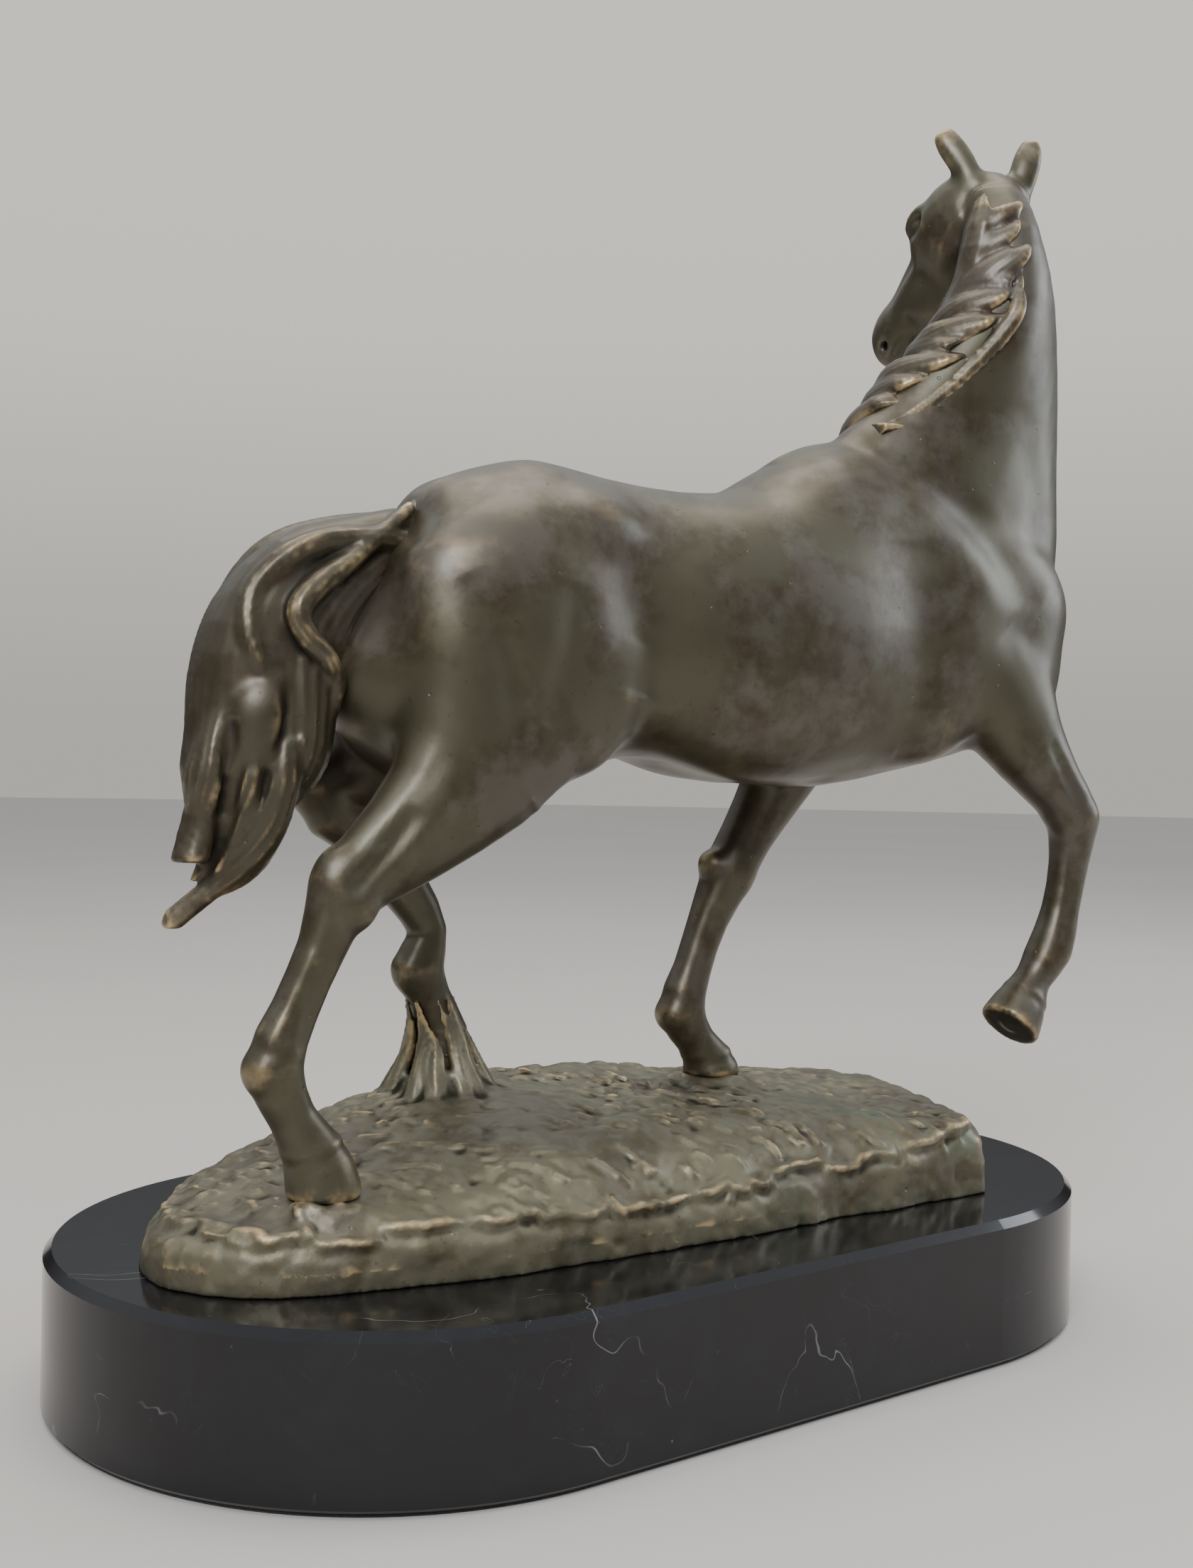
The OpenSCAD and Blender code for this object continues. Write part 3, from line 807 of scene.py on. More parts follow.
@dataclass(frozen=True)
class Bronze:
    """A patinated bronze.

    Attributes:
        name: name of the material.
        base: main tone of the patina.
        brown: warmer tone in clouds.
        pale: waxy, paler tone in clouds.
        rubbed: bare metal on the raised edges.
        recess: painted shade, the dark tone laid deep in the folds.
        cloud_size: size of the clouds, in metres.
        brown_share: strength of the brown clouds.
        pale_share: strength of the pale clouds.
        rub: relief in millimetres at which the rub starts and is full.
        shade: depth in millimetres at which the painted shade starts and is full.
        peel: depth of the casting's grain, in millimetres.
        rough: roughness of the patina.
        wax: weight of the wax coat.
        verdigris: strength of the green patches, which lie towards the frame's +X end.
    """

    name: str
    base: Colour = tone(76, 72, 54)
    brown: Colour = tone(58, 43, 24)
    pale: Colour = tone(116, 116, 108)
    rubbed: Colour = tone(196, 172, 128)
    recess: Colour = tone(26, 22, 17)
    cloud_size: float = 0.034
    brown_share: float = 0.8
    pale_share: float = 0.28
    rub: tuple[float, float] = (0.13, 0.45)
    shade: tuple[float, float] = (0.12, 1.3)
    peel: float = 0.035
    rough: float = 0.44
    wax: float = 0.45
    verdigris: float = 0.0

    def make(self) -> bpy.types.Material:
        """The material."""
        material, b, shader = new_material(self.name)
        rub_and_shade = SHELF.use(b, Effect.RUB_AND_PAINTED_SHADE, Rub_start=self.rub[0], Rub_end=self.rub[1],
                         Shade_start=self.shade[0], Shade_end=self.shade[1])
        patina = SHELF.use(b, Effect.PATINA, Base=self.base, Brown=self.brown, Pale=self.pale,
                           Size=self.cloud_size, Brown_share=self.brown_share, Pale_share=self.pale_share)
        colour = patina.outputs["Color"]
        if self.verdigris:
            colour = self.with_verdigris(b, colour)
        # Painted shade: the recess tone darkens the hollows and folds; the rub after it is the worn metal of
        # the raised edges.
        colour = b.mixed(b.maths("MULTIPLY", rub_and_shade.outputs["Shade"], 0.9), colour, self.recess)
        colour = b.mixed(b.maths("MULTIPLY", rub_and_shade.outputs["Rub"], 0.85), colour, self.rubbed)
        grain = SHELF.use(b, Effect.GRAIN, Peel=self.peel)
        bump = b.add("ShaderNodeBump", {"Height": grain.outputs["Height"], "Distance": MM, "Strength": 1.0})
        uneven = b.maths("MULTIPLY_ADD", b.cloud(0.008, 5.0, 0.6).outputs["Fac"], 0.22, self.rough - 0.11)
        rough = b.maths("MULTIPLY_ADD", rub_and_shade.outputs["Shade"], 0.25, uneven)
        feed(b, shader, Base_Color=colour, Metallic=0.6, Roughness=rough, Normal=bump.outputs["Normal"],
             Coat_Weight=b.maths("MULTIPLY_ADD", rub_and_shade.outputs["Shade"], -self.wax, self.wax),
             Coat_Roughness=0.33, Coat_IOR=1.42)
        return material

    def with_verdigris(self, b: NodeBench, colour: bpy.types.NodeSocket) -> bpy.types.NodeSocket:
        """Adds patches of verdigris.

        Args:
            b: the material's bench.
            colour: the colour so far.

        Returns:
            The colour with the green laid over it.
        """
        patch = b.ramp(b.cloud(0.026, 6.0, 0.66, twist=0.8).outputs["Fac"], 0.53, 0.68)
        forward = b.add("ShaderNodeSeparateXYZ", {0: b.place()}).outputs["X"]
        side = b.ramp(forward, -0.02, 0.05)
        share = b.maths("MULTIPLY", b.maths("MULTIPLY", patch, side), self.verdigris)
        green = b.mixed(b.cloud(0.006, 3.0).outputs["Fac"], tone(74, 92, 70), tone(112, 138, 118))
        return b.mixed(share, colour, green)


SKIN_BRONZE = Bronze("patinated_bronze")
HAIR_BRONZE = Bronze("rubbed_bronze", base=tone(70, 64, 48), rub=(0.07, 0.30), shade=(0.08, 0.9), peel=0.03)
GROUND_BRONZE = Bronze("ground_bronze", base=tone(112, 108, 88), brown=tone(84, 74, 52), rub=(0.11, 0.32),
                       shade=(0.10, 0.8), peel=0.09, rough=0.47, wax=0.2, cloud_size=0.022, verdigris=0.55)
RAW_BRONZE = Bronze("raw_bronze", base=tone(150, 122, 78), brown=tone(132, 100, 58), rough=0.35)


@dataclass(frozen=True)
class BlackMarble:
    """Polished black marble with fine grey veins.

    Attributes:
        name: name of the material.
        ground: the stone's own tone.
        crystal: tone of its cloudy crystal.
        vein: tone of the veins and flecks.
        vein_size: spacing of the veins, in metres.
        vein_width: their width as a share of the noise that they follow.
        polish: roughness of the polished face.
    """

    name: str = "polished_black_marble"
    ground: Colour = tone(9, 9, 13)
    crystal: Colour = tone(26, 26, 34)
    vein: Colour = tone(150, 150, 156)
    vein_size: float = 0.06
    vein_width: float = 0.0035
    polish: float = 0.07

    def make(self) -> bpy.types.Material:
        """The material."""
        material, b, shader = new_material(self.name)
        stone = SHELF.use(b, Effect.VEINS, Size=self.vein_size, Width=self.vein_width)
        colour = b.mixed(b.maths("MULTIPLY", stone.outputs["Cloud"], 0.45), self.ground, self.crystal)
        colour = b.mixed(b.maths("MULTIPLY", stone.outputs["Vein"], 0.55), colour, self.vein)
        fleck = b.ramp(b.cloud(0.0045, kind="Cells").outputs["Distance"], 0.10, 0.04)
        some = b.ramp(b.cloud(0.012, 3.0).outputs["Fac"], 0.56, 0.66)
        colour = b.mixed(b.maths("MULTIPLY", b.maths("MULTIPLY", fleck, some), 0.35), colour, self.vein)
        smear = b.cloud(0.02, 6.0, 0.6).outputs["Fac"]
        rough = b.maths("MULTIPLY_ADD", smear, 0.10, self.polish)
        swell = b.add("ShaderNodeBump", {"Height": b.cloud(0.03, 2.0).outputs["Fac"], "Distance": 0.1 * MM,
                                         "Strength": 0.5})
        feed(b, shader, Base_Color=colour, Metallic=0.0, Roughness=rough, Normal=swell.outputs["Normal"])
        return material


@dataclass(frozen=True)
class Felt:
    """Black felt."""

    name: str = "black_felt"
    light: Colour = tone(44, 43, 42)
    dark: Colour = tone(22, 21, 21)

    def make(self) -> bpy.types.Material:
        """The material."""
        material, b, shader = new_material(self.name)
        fibre = b.cloud(0.0006, 6.0, 0.75, twist=2.0).outputs["Fac"]
        colour = b.mixed(b.ramp(fibre, 0.35, 0.65), self.dark, self.light)
        bump = b.add("ShaderNodeBump", {"Height": fibre, "Distance": 0.3 * MM, "Strength": 0.8})
        feed(b, shader, Base_Color=colour, Roughness=0.95, Normal=bump.outputs["Normal"], Sheen_Weight=0.3)
        return material


@dataclass(frozen=True)
class Steel:
    """Zinc-plated steel of the studs, washers and nuts."""

    name: str = "plated_steel"
    bright: Colour = tone(176, 178, 180)
    dull: Colour = tone(120, 122, 122)

    def make(self) -> bpy.types.Material:
        """The material."""
        material, b, shader = new_material(self.name)
        spangle = b.cloud(0.003, 5.0, 0.6).outputs["Fac"]
        colour = b.mixed(b.ramp(spangle, 0.35, 0.65), self.dull, self.bright)
        rough = b.maths("MULTIPLY_ADD", spangle, 0.25, 0.22)
        bump = b.add("ShaderNodeBump", {"Height": spangle, "Distance": 0.03 * MM, "Strength": 0.6})
        feed(b, shader, Base_Color=colour, Metallic=1.0, Roughness=rough, Normal=bump.outputs["Normal"])
        return material


def dress(piece: bpy.types.Object, material: bpy.types.Material) -> None:
    """Gives a piece one material."""
    piece.data.materials.clear()
    piece.data.materials.append(material)


# ---------------------------------------------------------------- modelling notes

@dataclass(frozen=True)
class Lump:
    """A muscle or bone under the skin, in the horse's space and in millimetres.

    Attributes:
        centre: its middle, on the horse's left.
        radii: half sizes along, across and up.
        blend: width of the rounding.
    """

    centre: Place
    radii: Place
    blend: float = 6.0


@dataclass(frozen=True)
class Fold:
    """A ridge or groove in the skin, in the horse's space and in millimetres.

    Attributes:
        path: places that it runs through, on the horse's left.
        width: half width.
        height: how far it rises, negative for a groove.
    """

    path: Sequence[Place]
    width: float
    height: float


@dataclass(frozen=True)
class Hair:
    """A lock of hair, in the horse's space and in millimetres.

    Attributes:
        path: places along its middle.
        radii: half width at each place.
        out: direction that its flat side looks to.
        flat: thickness as a share of the width.
        strands: how many strands lie round it.
    """

    path: Sequence[Place]
    radii: Sequence[float]
    out: Place = (-1, -1, 0.4)
    flat: float = 0.8
    strands: int = 14


def on_side(path: Sequence[Place], side: int) -> Array:
    """Places of the horse's left as frame places, on the left for 1 and on the right for -1."""
    return HORSE.to_world([(x, side * y, z) for x, y, z in path])


class CastingSurface:
    """The outer surface of some of the frame's castings, for laying strokes on."""

    def __init__(self, nodes: Sequence[str]) -> None:
        """Gathers the triangles of the named nodes.

        Args:
            nodes: names of frame nodes.
        """
        points, triangles, count = [], [], 0
        for node in nodes:
            p, t = mesh_arrays(bpy.data.objects[node].data)
            points.append(p)
            triangles.append(t.astype(int) + count)
            count += len(p)
        self.tree = BVHTree.FromPolygons(np.concatenate(points).tolist(), np.concatenate(triangles).tolist())

    def nearest(self, places: Array) -> Array:
        """Nearest places on the surface."""
        return np.array([self.tree.find_nearest(Vector(p))[0] for p in places])

    def hit(self, start: Array, way: Array, far: float = 1.0) -> Array | None:
        """First place that a ray meets, or None."""
        found = self.tree.ray_cast(Vector(start), Vector(way), far)[0]
        return None if found is None else np.array(found)


# ---------------------------------------------------------------- the horse's skin

@dataclass
class HorseSkin:
    """Body, neck, head, ears and legs as one chased and polished bronze skin.

    Attributes:
        grain: grid of the clay, in metres.
        seam: rounding where the castings meet.
        castings: frame nodes that the skin stands for.
        MUSCLES: muscles under the skin of both sides.
        BODY_FOLDS: ridges and grooves of both flanks, the shoulders and the neck.
        TOP_FOLDS: the same along the back.
        RIGHT_LEG_FOLDS: tendons of the right legs.
        LEFT_LEG_FOLDS: tendons of the left legs.
        JOINTS: centre, half sizes and rounding of each joint's bones.
        CORONETS: centre, way up the pastern and radius of each hoof's rim.
        TRUNK: lowest and highest level that are smoothed as the trunk, and the fade at both.
    """

    grain: float = 0.62 * MM
    seam: float = 1.6 * MM
    castings: tuple[str, ...] = ("torso_casting", "neck_casting", "head_casting", "left_ear", "right_ear",
                                 "left_foreleg", "right_foreleg", "left_hind_leg", "right_hind_leg")

    MUSCLES = (
        Lump((-46, 16, 112), (24, 12, 24)),
        Lump((-26, 17, 132), (8, 6, 6), 7),
        Lump((-30, 17.5, 98), (14, 9, 20)),
        Lump((-31, 16, 88), (9, 7, 9), 5),
        Lump((20, 13, 108), (38, 16, 30), 8),
        Lump((78, 13, 114), (16, 11, 26)),
        Lump((107, 11, 108), (9, 8, 10)),
        Lump((72, 13, 96), (15, 9.5, 14), 5),
        Lump((114, 7, 104), (8.5, 8, 13)),
        Lump((-58, 14, 96), (13, 12, 22), 6))
    BODY_FOLDS = (
        Fold([(-22, 26, 128), (-15, 27, 110), (-17, 25, 94)], 10, -1.6),
        Fold([(-18, 26, 107), (-21, 25, 96), (-23, 22, 86)], 4.5, 0.6),
        Fold([(60, 26, 136), (61, 27, 114), (64, 25, 94)], 9, -0.8),
        Fold([(62, 24, 150), (78, 24, 134), (94, 22, 118)], 6.5, 1.1),
        Fold([(72, 20, 156), (88, 20, 138), (104, 18, 122)], 6, -0.9),
        Fold([(-60, 23, 118), (-52, 27, 100), (-50, 26, 84)], 4, -1.0),
        Fold([(-36, 26, 118), (-38, 28, 102), (-44, 27, 88)], 4, -0.8),
        Fold([(102, 12, 176), (108, 13, 156), (112, 14, 136)], 6, -0.5),
        Fold([(110, 6, 172), (115, 6, 154), (118, 6, 136)], 6, 0.3),
        Fold([(121, 1.5, 128), (123, 1.5, 112), (119, 1.5, 98)], 4, -0.7),
        Fold([(62, 19, 84), (70, 20, 86), (80, 18, 90)], 3, -1.0))
    TOP_FOLDS = (
        Fold([(34, 0, 155), (50, 0, 160), (66, 0, 163)], 5, 1.2),
        Fold([(-62, 0, 140), (-44, 0, 146), (-28, 0, 149)], 3.5, -0.9),
        Fold([(-20, 0, 147), (4, 0, 144), (24, 0, 147)], 4, -0.6))
    RIGHT_LEG_FOLDS = (
        Fold([(-89, -25.6, 43), (-92.5, -25.5, 33), (-96, -26, 22)], 1.3, -1.1),
        Fold([(-93.5, -25.6, 42), (-98.5, -25, 31), (-103, -25.5, 23)], 1.2, 0.7),
        Fold([(-72, -26, 70), (-79, -26, 61), (-86, -25, 53)], 1.6, -1.1),
        Fold([(-62, -28, 78), (-70, -28, 66), (-76, -26, 56)], 2.5, 0.7),
        Fold([(119, -21.5, 60), (118.5, -21.5, 48), (115, -22, 36)], 1.2, -0.9),
        Fold([(108, -25, 88), (114, -24, 79), (120, -23, 71)], 1.6, -0.8),
        Fold([(118, -11.5, 60), (117, -11.5, 48), (113.5, -11.5, 36)], 1.2, -0.9))
    LEFT_LEG_FOLDS = (
        Fold([(-70, 15, 68), (-60, 15, 58), (-50, 15, 44)], 1.2, -0.9),
        Fold([(-66, 25, 66), (-56, 25, 54), (-48, 25, 42)], 1.2, -0.9),
        Fold([(30, 12, 44), (26, 12, 32), (22, 12, 22)], 1.2, -0.9),
        Fold([(34, 21.5, 46), (27, 21.5, 30), (23, 21.5, 21)], 1.2, -0.9),
        Fold([(50, 10, 84), (44, 11, 70), (38, 12, 58)], 1.8, -0.8))
    JOINTS = (
        ((-87.5, -20.5, 55.5), (4.0, 3.6, 6.0), 4.0),
        ((-84, -24, 50), (4.5, 2.6, 4.5), 2.0),
        ((-84, -17, 50), (4.5, 2.6, 4.5), 2.0),
        ((-103, -21.5, 18), (3.4, 4.6, 4.2), 2.0),
        ((-77, 20, 74), (4.0, 3.4, 5.0), 4.0),
        ((-52, 20, 31), (3.4, 4.4, 4.2), 2.0),
        ((36.5, 17, 53), (5.8, 6.2, 6.6), 2.0),
        ((31, 17, 55), (3.4, 4.0, 4.0), 2.0),
        ((19, 17, 17.5), (3.4, 4.4, 4.0), 2.0),
        ((123.5, -17, 68), (5.8, 6.2, 6.8), 2.0),
        ((117.5, -17, 69), (3.6, 4.2, 4.0), 2.0),
        ((112.5, -17, 31), (3.6, 4.5, 4.2), 2.0))
    CORONETS = (
        ((-92, -21.5, 1.5), (-0.3, 0, 1), 7.0),
        ((-43.2, 21, 16.5), (0, 0, 1), 7.0),
        ((30, 17, 6.5), (-0.2, 0, 1), 7.0),
        ((106, -17, 21.5), (0.65, 0, 0.76), 6.8))
    TRUNK = (74 * MM, 214 * MM, 14 * MM)

    def build(self) -> bpy.types.Object:
        """Models the skin.

        Returns:
            The piece, dressed and riding on the frame.
        """
        low = np.min([low_of(n) for n in self.castings], axis=0)
        high = np.max([high_of(n) for n in self.castings], axis=0)
        clay = Clay(low, high, self.grain)
        for node in self.castings:
            blend = 2.4 * MM if node.endswith("ear") else self.seam
            clay.pack_mesh(bpy.data.objects[node], blend)
        clay.pack_mesh(bpy.data.objects["seam_dowels"], self.grain)
        clay.fill_hollows()
        touch = CastingSurface(self.castings)
        self.model_body(clay, touch)
        self.model_legs(clay, touch)
        HeadModel().model(clay)
        clay.soften(0.55 * MM)
        piece = clay.to_mesh("horse_skin")
        dress(piece, SKIN_BRONZE.make())
        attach(piece, "root")
        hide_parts(*self.castings)
        return piece

    def model_body(self, clay: Clay, touch: CastingSurface) -> None:
        """Adds the muscles and folds of the body, and smooths it."""
        for side in (1, -1):
            for lump in self.MUSCLES:
                centre = on_side([lump.centre], side)[0]
                clay.ball(centre, np.array(lump.radii) * MM, lump.blend * MM)
        up = clay.points()[..., 2] - HORSE.to_world([(0, 0, 0)])[0, 2]
        bottom, top, fade = self.TRUNK
        share = np.clip((up - bottom) / fade, 0, 1) * np.clip((top - up) / fade, 0, 1)
        clay.soften(2.0 * MM, share)
        for side in (1, -1):
            for fold in self.BODY_FOLDS:
                self.fold(clay, touch, on_side(fold.path, side), fold)
        for fold in self.TOP_FOLDS:
            self.fold(clay, touch, on_side(fold.path, 1), fold)

    def model_legs(self, clay: Clay, touch: CastingSurface) -> None:
        """Adds joints, tendons and hooves."""
        for centre, radii, blend in self.JOINTS:
            clay.ball(HORSE.to_world([centre])[0], np.array(radii) * MM, blend * MM)
        for fold in self.RIGHT_LEG_FOLDS + self.LEFT_LEG_FOLDS:
            self.fold(clay, touch, HORSE.to_world(fold.path), fold)
        for middle, way, radius in self.CORONETS:
            self.coronet(clay, middle, way, radius)
        sole = HORSE.to_world([(98.2, -17.5, 11.6)])[0]
        clay.ball(sole, np.array((5.6, 5.6, 2.6)) * MM, 0.6 * MM, self.sole_axes(), cut=True)
        clay.ball(HORSE.to_world([(100.9, -17.5, 15.0)])[0], np.array((2.6, 1.5, 1.6)) * MM, 0.8 * MM,
                  self.sole_axes())

    @staticmethod
    def sole_axes() -> Array:
        """Axes of the lifted foreleg's sole: along it, across it and out of it."""
        out = HORSE.way((-0.65, 0, -0.76))
        out /= np.linalg.norm(out)
        across = HORSE.left()
        return np.stack([np.cross(across, out), across, out])

    @staticmethod
    def fold(clay: Clay, touch: CastingSurface, path: Array, fold: Fold) -> None:
        """Lays one fold on the castings' surface."""
        line = touch.nearest(smooth_path(path, 7))
        clay.stroke(line, fold.width * MM, fold.height * MM)

    @staticmethod
    def coronet(clay: Clay, middle: Place, way: Place, radius: float) -> None:
        """Raises the soft rim above a hoof, with a groove under it.

        Args:
            clay: the horse's clay.
            middle: centre of the rim, in the horse's space.
            way: direction up the pastern.
            radius: radius of the rim, in millimetres.
        """
        axis = np.array(way, float) / np.linalg.norm(way)
        across = np.array([0.0, 1.0, 0.0])
        ahead = np.cross(across, axis)
        turns = np.linspace(0, 2 * math.pi, 17)
        for lift, height in ((1.1, 0.45), (-0.5, -0.5)):
            ring = [np.array(middle) + axis * lift + radius * (math.cos(a) * ahead + math.sin(a) * across)
                    for a in turns]
            clay.stroke(HORSE.to_world(ring), 0.9 * MM, height * MM, taper=False)


@dataclass
class HeadModel:
    """Eyes, cheeks, nostrils, mouth and ears.

    Places are millimetres along the head from the poll, to its left, and up from its middle line.

    Attributes:
        poll: the head's start, in the horse's space.
        muzzle: its end.
        LUMPS: centre, half sizes and rounding of cheek, brow, poll, nose, lips, chin and throat.
        FOLDS: path, half width and height of the lids, the cheek bone, the jaw and the nostrils' rims.
        LIPS: the mouth's left half, from its corner to the middle.
        EARS: the hollow of each ear, in the horse's space.
    """

    poll: Place = (105, 0.5, 229.5)
    muzzle: Place = (104, 38.5, 197.5)

    LUMPS = (
        ((23, 4.5, -6), (11, 5, 10.5), 2.5),
        ((12, 8.8, 8.0), (5.5, 4.6, 4.2), 1.6),
        ((3, 7, 4), (8, 5, 6), 3.0),
        ((42.5, 3.4, -2), (7.5, 4.2, 6.5), 2.0),
        ((45, 2.2, 3), (4, 3, 3.2), 2.0),
        ((42, 1.6, -8), (5.5, 4, 4.4), 2.0),
        ((6, 6.5, -2), (7, 4, 8), 2.5))
    FOLDS = (
        (((7, 13, 8.5), (12, 14, 10.0), (17, 12.4, 8)), 1.3, 1.3),
        (((8, 12.8, 3.6), (12, 13.2, 2.4), (17, 12, 4)), 1.0, 0.8),
        (((19, 10.4, 1), (27, 8, 0.5), (35, 7, 0)), 1.2, 0.9),
        (((21, 8.4, 4.5), (29, 6.8, 3.5), (39, 6.2, 2)), 1.5, -1.0),
        (((24, 6, 7), (33, 4.6, 6.5), (42, 3.6, 5)), 1.0, 0.6),
        (((33, 7.4, -4), (32, 7.4, -9), (28, 6.5, -15)), 1.5, -1.2),
        (((8, 9, -8), (13, 9, -13), (20, 7.5, -17)), 1.8, -1.0),
        (((40.5, 6.4, -2.6), (44, 6.2, -1.4), (46, 5.2, -3)), 0.8, 0.9))
    LIPS = ((37, 7, -7.6), (42, 6.6, -7), (46.5, 3.6, -6.4), (48.5, 0, -6.2))
    EARS = (((99.5, 1, 237), (97.5, 3, 243), (95, 5, 247.5)),
            ((113.5, 0, 235), (115, -1, 241), (116.5, -1.4, 246)))

    def axes(self) -> Array:
        """Rows: along the head, to its left, and up from its face line."""
        a, b = HORSE.to_world([self.poll, self.muzzle])
        along = (b - a) / np.linalg.norm(b - a)
        left = np.cross([0, 0, 1], along)
        left /= np.linalg.norm(left)
        return np.stack([along, left, np.cross(along, left)])

    def places(self, rows: Sequence[Place], side: int) -> Array:
        """Places on the head, mirrored to the given side, in the frame."""
        start = HORSE.to_world([self.poll])[0]
        return np.array([start + (np.array([r[0], side * r[1], r[2]]) * MM) @ self.axes() for r in rows])

    def model(self, clay: Clay) -> None:
        """Adds the features of the head to the horse's clay."""
        axes = self.axes()
        for side in (1, -1):
            for centre, radii, blend in self.LUMPS:
                clay.ball(self.places([centre], side)[0], np.array(radii) * MM, blend * MM, axes)
            socket, eye = self.places([(12.5, 14.4, 6.2), (12.5, 12.0, 6.2)], side)
            clay.ball(socket, np.array((3.6, 2.4, 2.6)) * MM, 1.0 * MM, axes, cut=True)
            clay.ball(eye, np.array((2.7, 1.9, 2.1)) * MM, 0.3 * MM, axes)
            for path, width, height in self.FOLDS:
                clay.stroke(self.places(path, side), width * MM, height * MM)
            nostril = self.places([(44, 6.6, -3.2)], side)[0]
            clay.ball(nostril, np.array((1.9, 1.6, 1.2)) * MM, 0.5 * MM, axes, cut=True)
        mouth = np.concatenate([self.places(self.LIPS, 1), self.places(self.LIPS[-2::-1], -1)])
        clay.stroke(mouth, 0.8 * MM, -1.2 * MM)
        for path in self.EARS:
            clay.stroke(HORSE.to_world(path), 1.7 * MM, -1.8 * MM)


# ---------------------------------------------------------------- hair

@dataclass
class Mane:
    """The mane: locks that leave the crest and fall to the left of the neck.

    Attributes:
        grain: grid of the clay, in metres.
        groove: depth of the combed grooves.
        locks: how many locks lie along the crest.
        combings: how many strokes comb its right edge.
        NECK_LINE: the neck's middle in the horse's space, and its turn in degrees.
        LONG_RIDGE: the long lock that edges the mane on the right.
        REACH: how far a ray looks for the neck's skin, outwards and back.
    """

    grain: float = 0.5 * MM
    groove: float = 0.55 * MM
    locks: int = 11
    combings: int = 26

    NECK_LINE = ((70, 0, 112, 0), (87, 0, 140, 2), (97, 0, 163, 8), (104.5, -2.5, 184, 22),
                 (107.5, -4, 203, 42), (105, -3.5, 220, 62), (103, -1.5, 232, 80))
    LONG_RIDGE = ((97, -20, 203), (95, -21.5, 197), (91, -19.5, 190), (86, -17.5, 184), (79, -14.5, 176.5),
                  (71, -11.5, 170), (62, -8.5, 164.5), (50, -7, 159))
    REACH = (80 * MM, 30 * MM)

    def build(self) -> bpy.types.Object:
        """Models the mane.

        Returns:
            The piece, dressed and riding on the frame.
        """
        low, high = low_of("mane_casting"), high_of("mane_casting")
        clay = Clay(low - 6 * MM, high + 2 * MM, self.grain)
        clay.pack_mesh(bpy.data.objects["mane_casting"], 1 * MM, shrink=1.6 * MM)
        skin = CastingSurface(("torso_casting", "neck_casting", "head_casting"))
        for i in range(self.locks):
            start = 5.55 - 3.9 * i / (self.locks - 1)
            self.lay(clay, skin, start, i)
        ridge = HORSE.to_world(self.LONG_RIDGE)
        radii = np.array((1.6, 2.6, 2.9, 2.7, 2.5, 2.2, 1.7, 0.7)) * MM
        clay.lock(ridge, radii, self.out(3.0, -25), 0.8 * MM,
                  strands=8, groove=0.6 * self.groove, drift=0.6)
        self.comb(clay, skin)
        clay.soften(0.3 * MM)
        piece = clay.to_mesh("mane_locks")
        dress(piece, HAIR_BRONZE.make())
        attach(piece, "root")
        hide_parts("mane_casting")
        return piece

    def frame_at(self, along: float) -> tuple[Array, Array, Array]:
        """Middle of the neck, and the ways to its crest and to its left, at a place along it.

        Args:
            along: 0 at the first row of the neck's line, one more at each row.

        Returns:
            The three in the frame.
        """
        rows = np.array(self.NECK_LINE, float)
        i = min(int(along), len(rows) - 2)
        row = rows[i] + (rows[i + 1] - rows[i]) * (along - i)
        way = rows[i + 1][:3] - rows[i][:3]
        way /= np.linalg.norm(way)
        turn = math.radians(row[3])
        left = np.array([-math.sin(turn), math.cos(turn), 0.0])
        left -= way * (left @ way)
        left /= np.linalg.norm(left)
        crest = np.cross(way, left)
        spots = HORSE.to_world([row[:3], row[:3] + crest, row[:3] + left])
        return spots[0], (spots[1] - spots[0]) / MM, (spots[2] - spots[0]) / MM

    def out(self, along: float, turn: float) -> Array:
        """Direction out of the neck, turned from the crest towards the left, in degrees."""
        _, crest, left = self.frame_at(along)
        return math.cos(math.radians(turn)) * crest + math.sin(math.radians(turn)) * left

    def spot(self, skin: CastingSurface, along: float, turn: float, lift: float) -> Array:
        """Place on the neck's skin, lifted off it by so many millimetres."""
        middle, _, _ = self.frame_at(along)
        way = self.out(along, turn)
        found = skin.hit(middle + MM * way, way, self.REACH[0])
        far = middle + way * (8 * MM if found is None else np.linalg.norm(found - middle))
        outer = skin.hit(far + way * 6 * MM, -way, self.REACH[1])
        return (far if outer is None else outer) + way * lift * MM

    def lay(self, clay: Clay, skin: CastingSurface, start: float, number: int) -> None:
        """Lays one lock of the mane.

        Args:
            clay: the mane's clay.
            skin: the neck.
            start: where it leaves the crest.
            number: its place in the row, which varies its shape.
        """
        sway = math.sin(2.4 * number)
        first = -12 + 6 * sway
        falls = ((0.0, first), (0.20, first + 10), (0.45, first + 30), (0.75, first + 54 + 6 * sway),
                 (1.10, first + 78 + 10 * sway))
        path = np.array([self.spot(skin, max(start - drop, 0.9), turn, lift)
                         for (drop, turn), lift in zip(falls, (-1.9, -0.1, 0.3, 0.0, -0.9))])
        size = 0.72 if start > 5 else 1.0
        radii = np.array((1.4, 3.4, 4.5, 3.8, 1.3)) * size * MM
        clay.lock(path, radii, self.out(max(start - 0.3, 0.9), first + 40), 1.0 * MM, flat=0.55, strands=16,
                  groove=self.groove, drift=1.2 + 0.5 * sway)

    def comb(self, clay: Clay, skin: CastingSurface) -> None:
        """Presses short comb strokes into the right edge of the mane."""
        for i in range(self.combings):
            along = 5.3 - 2.9 * i / (self.combings - 1)
            wave = 5 * math.sin(1.9 * i)
            path = np.array([self.spot(skin, along - 0.03 * k, turn + wave, 0.2)
                             for k, turn in enumerate((-46, -34, -20))])
            clay.stroke(path, 0.6 * MM, -0.45 * MM)


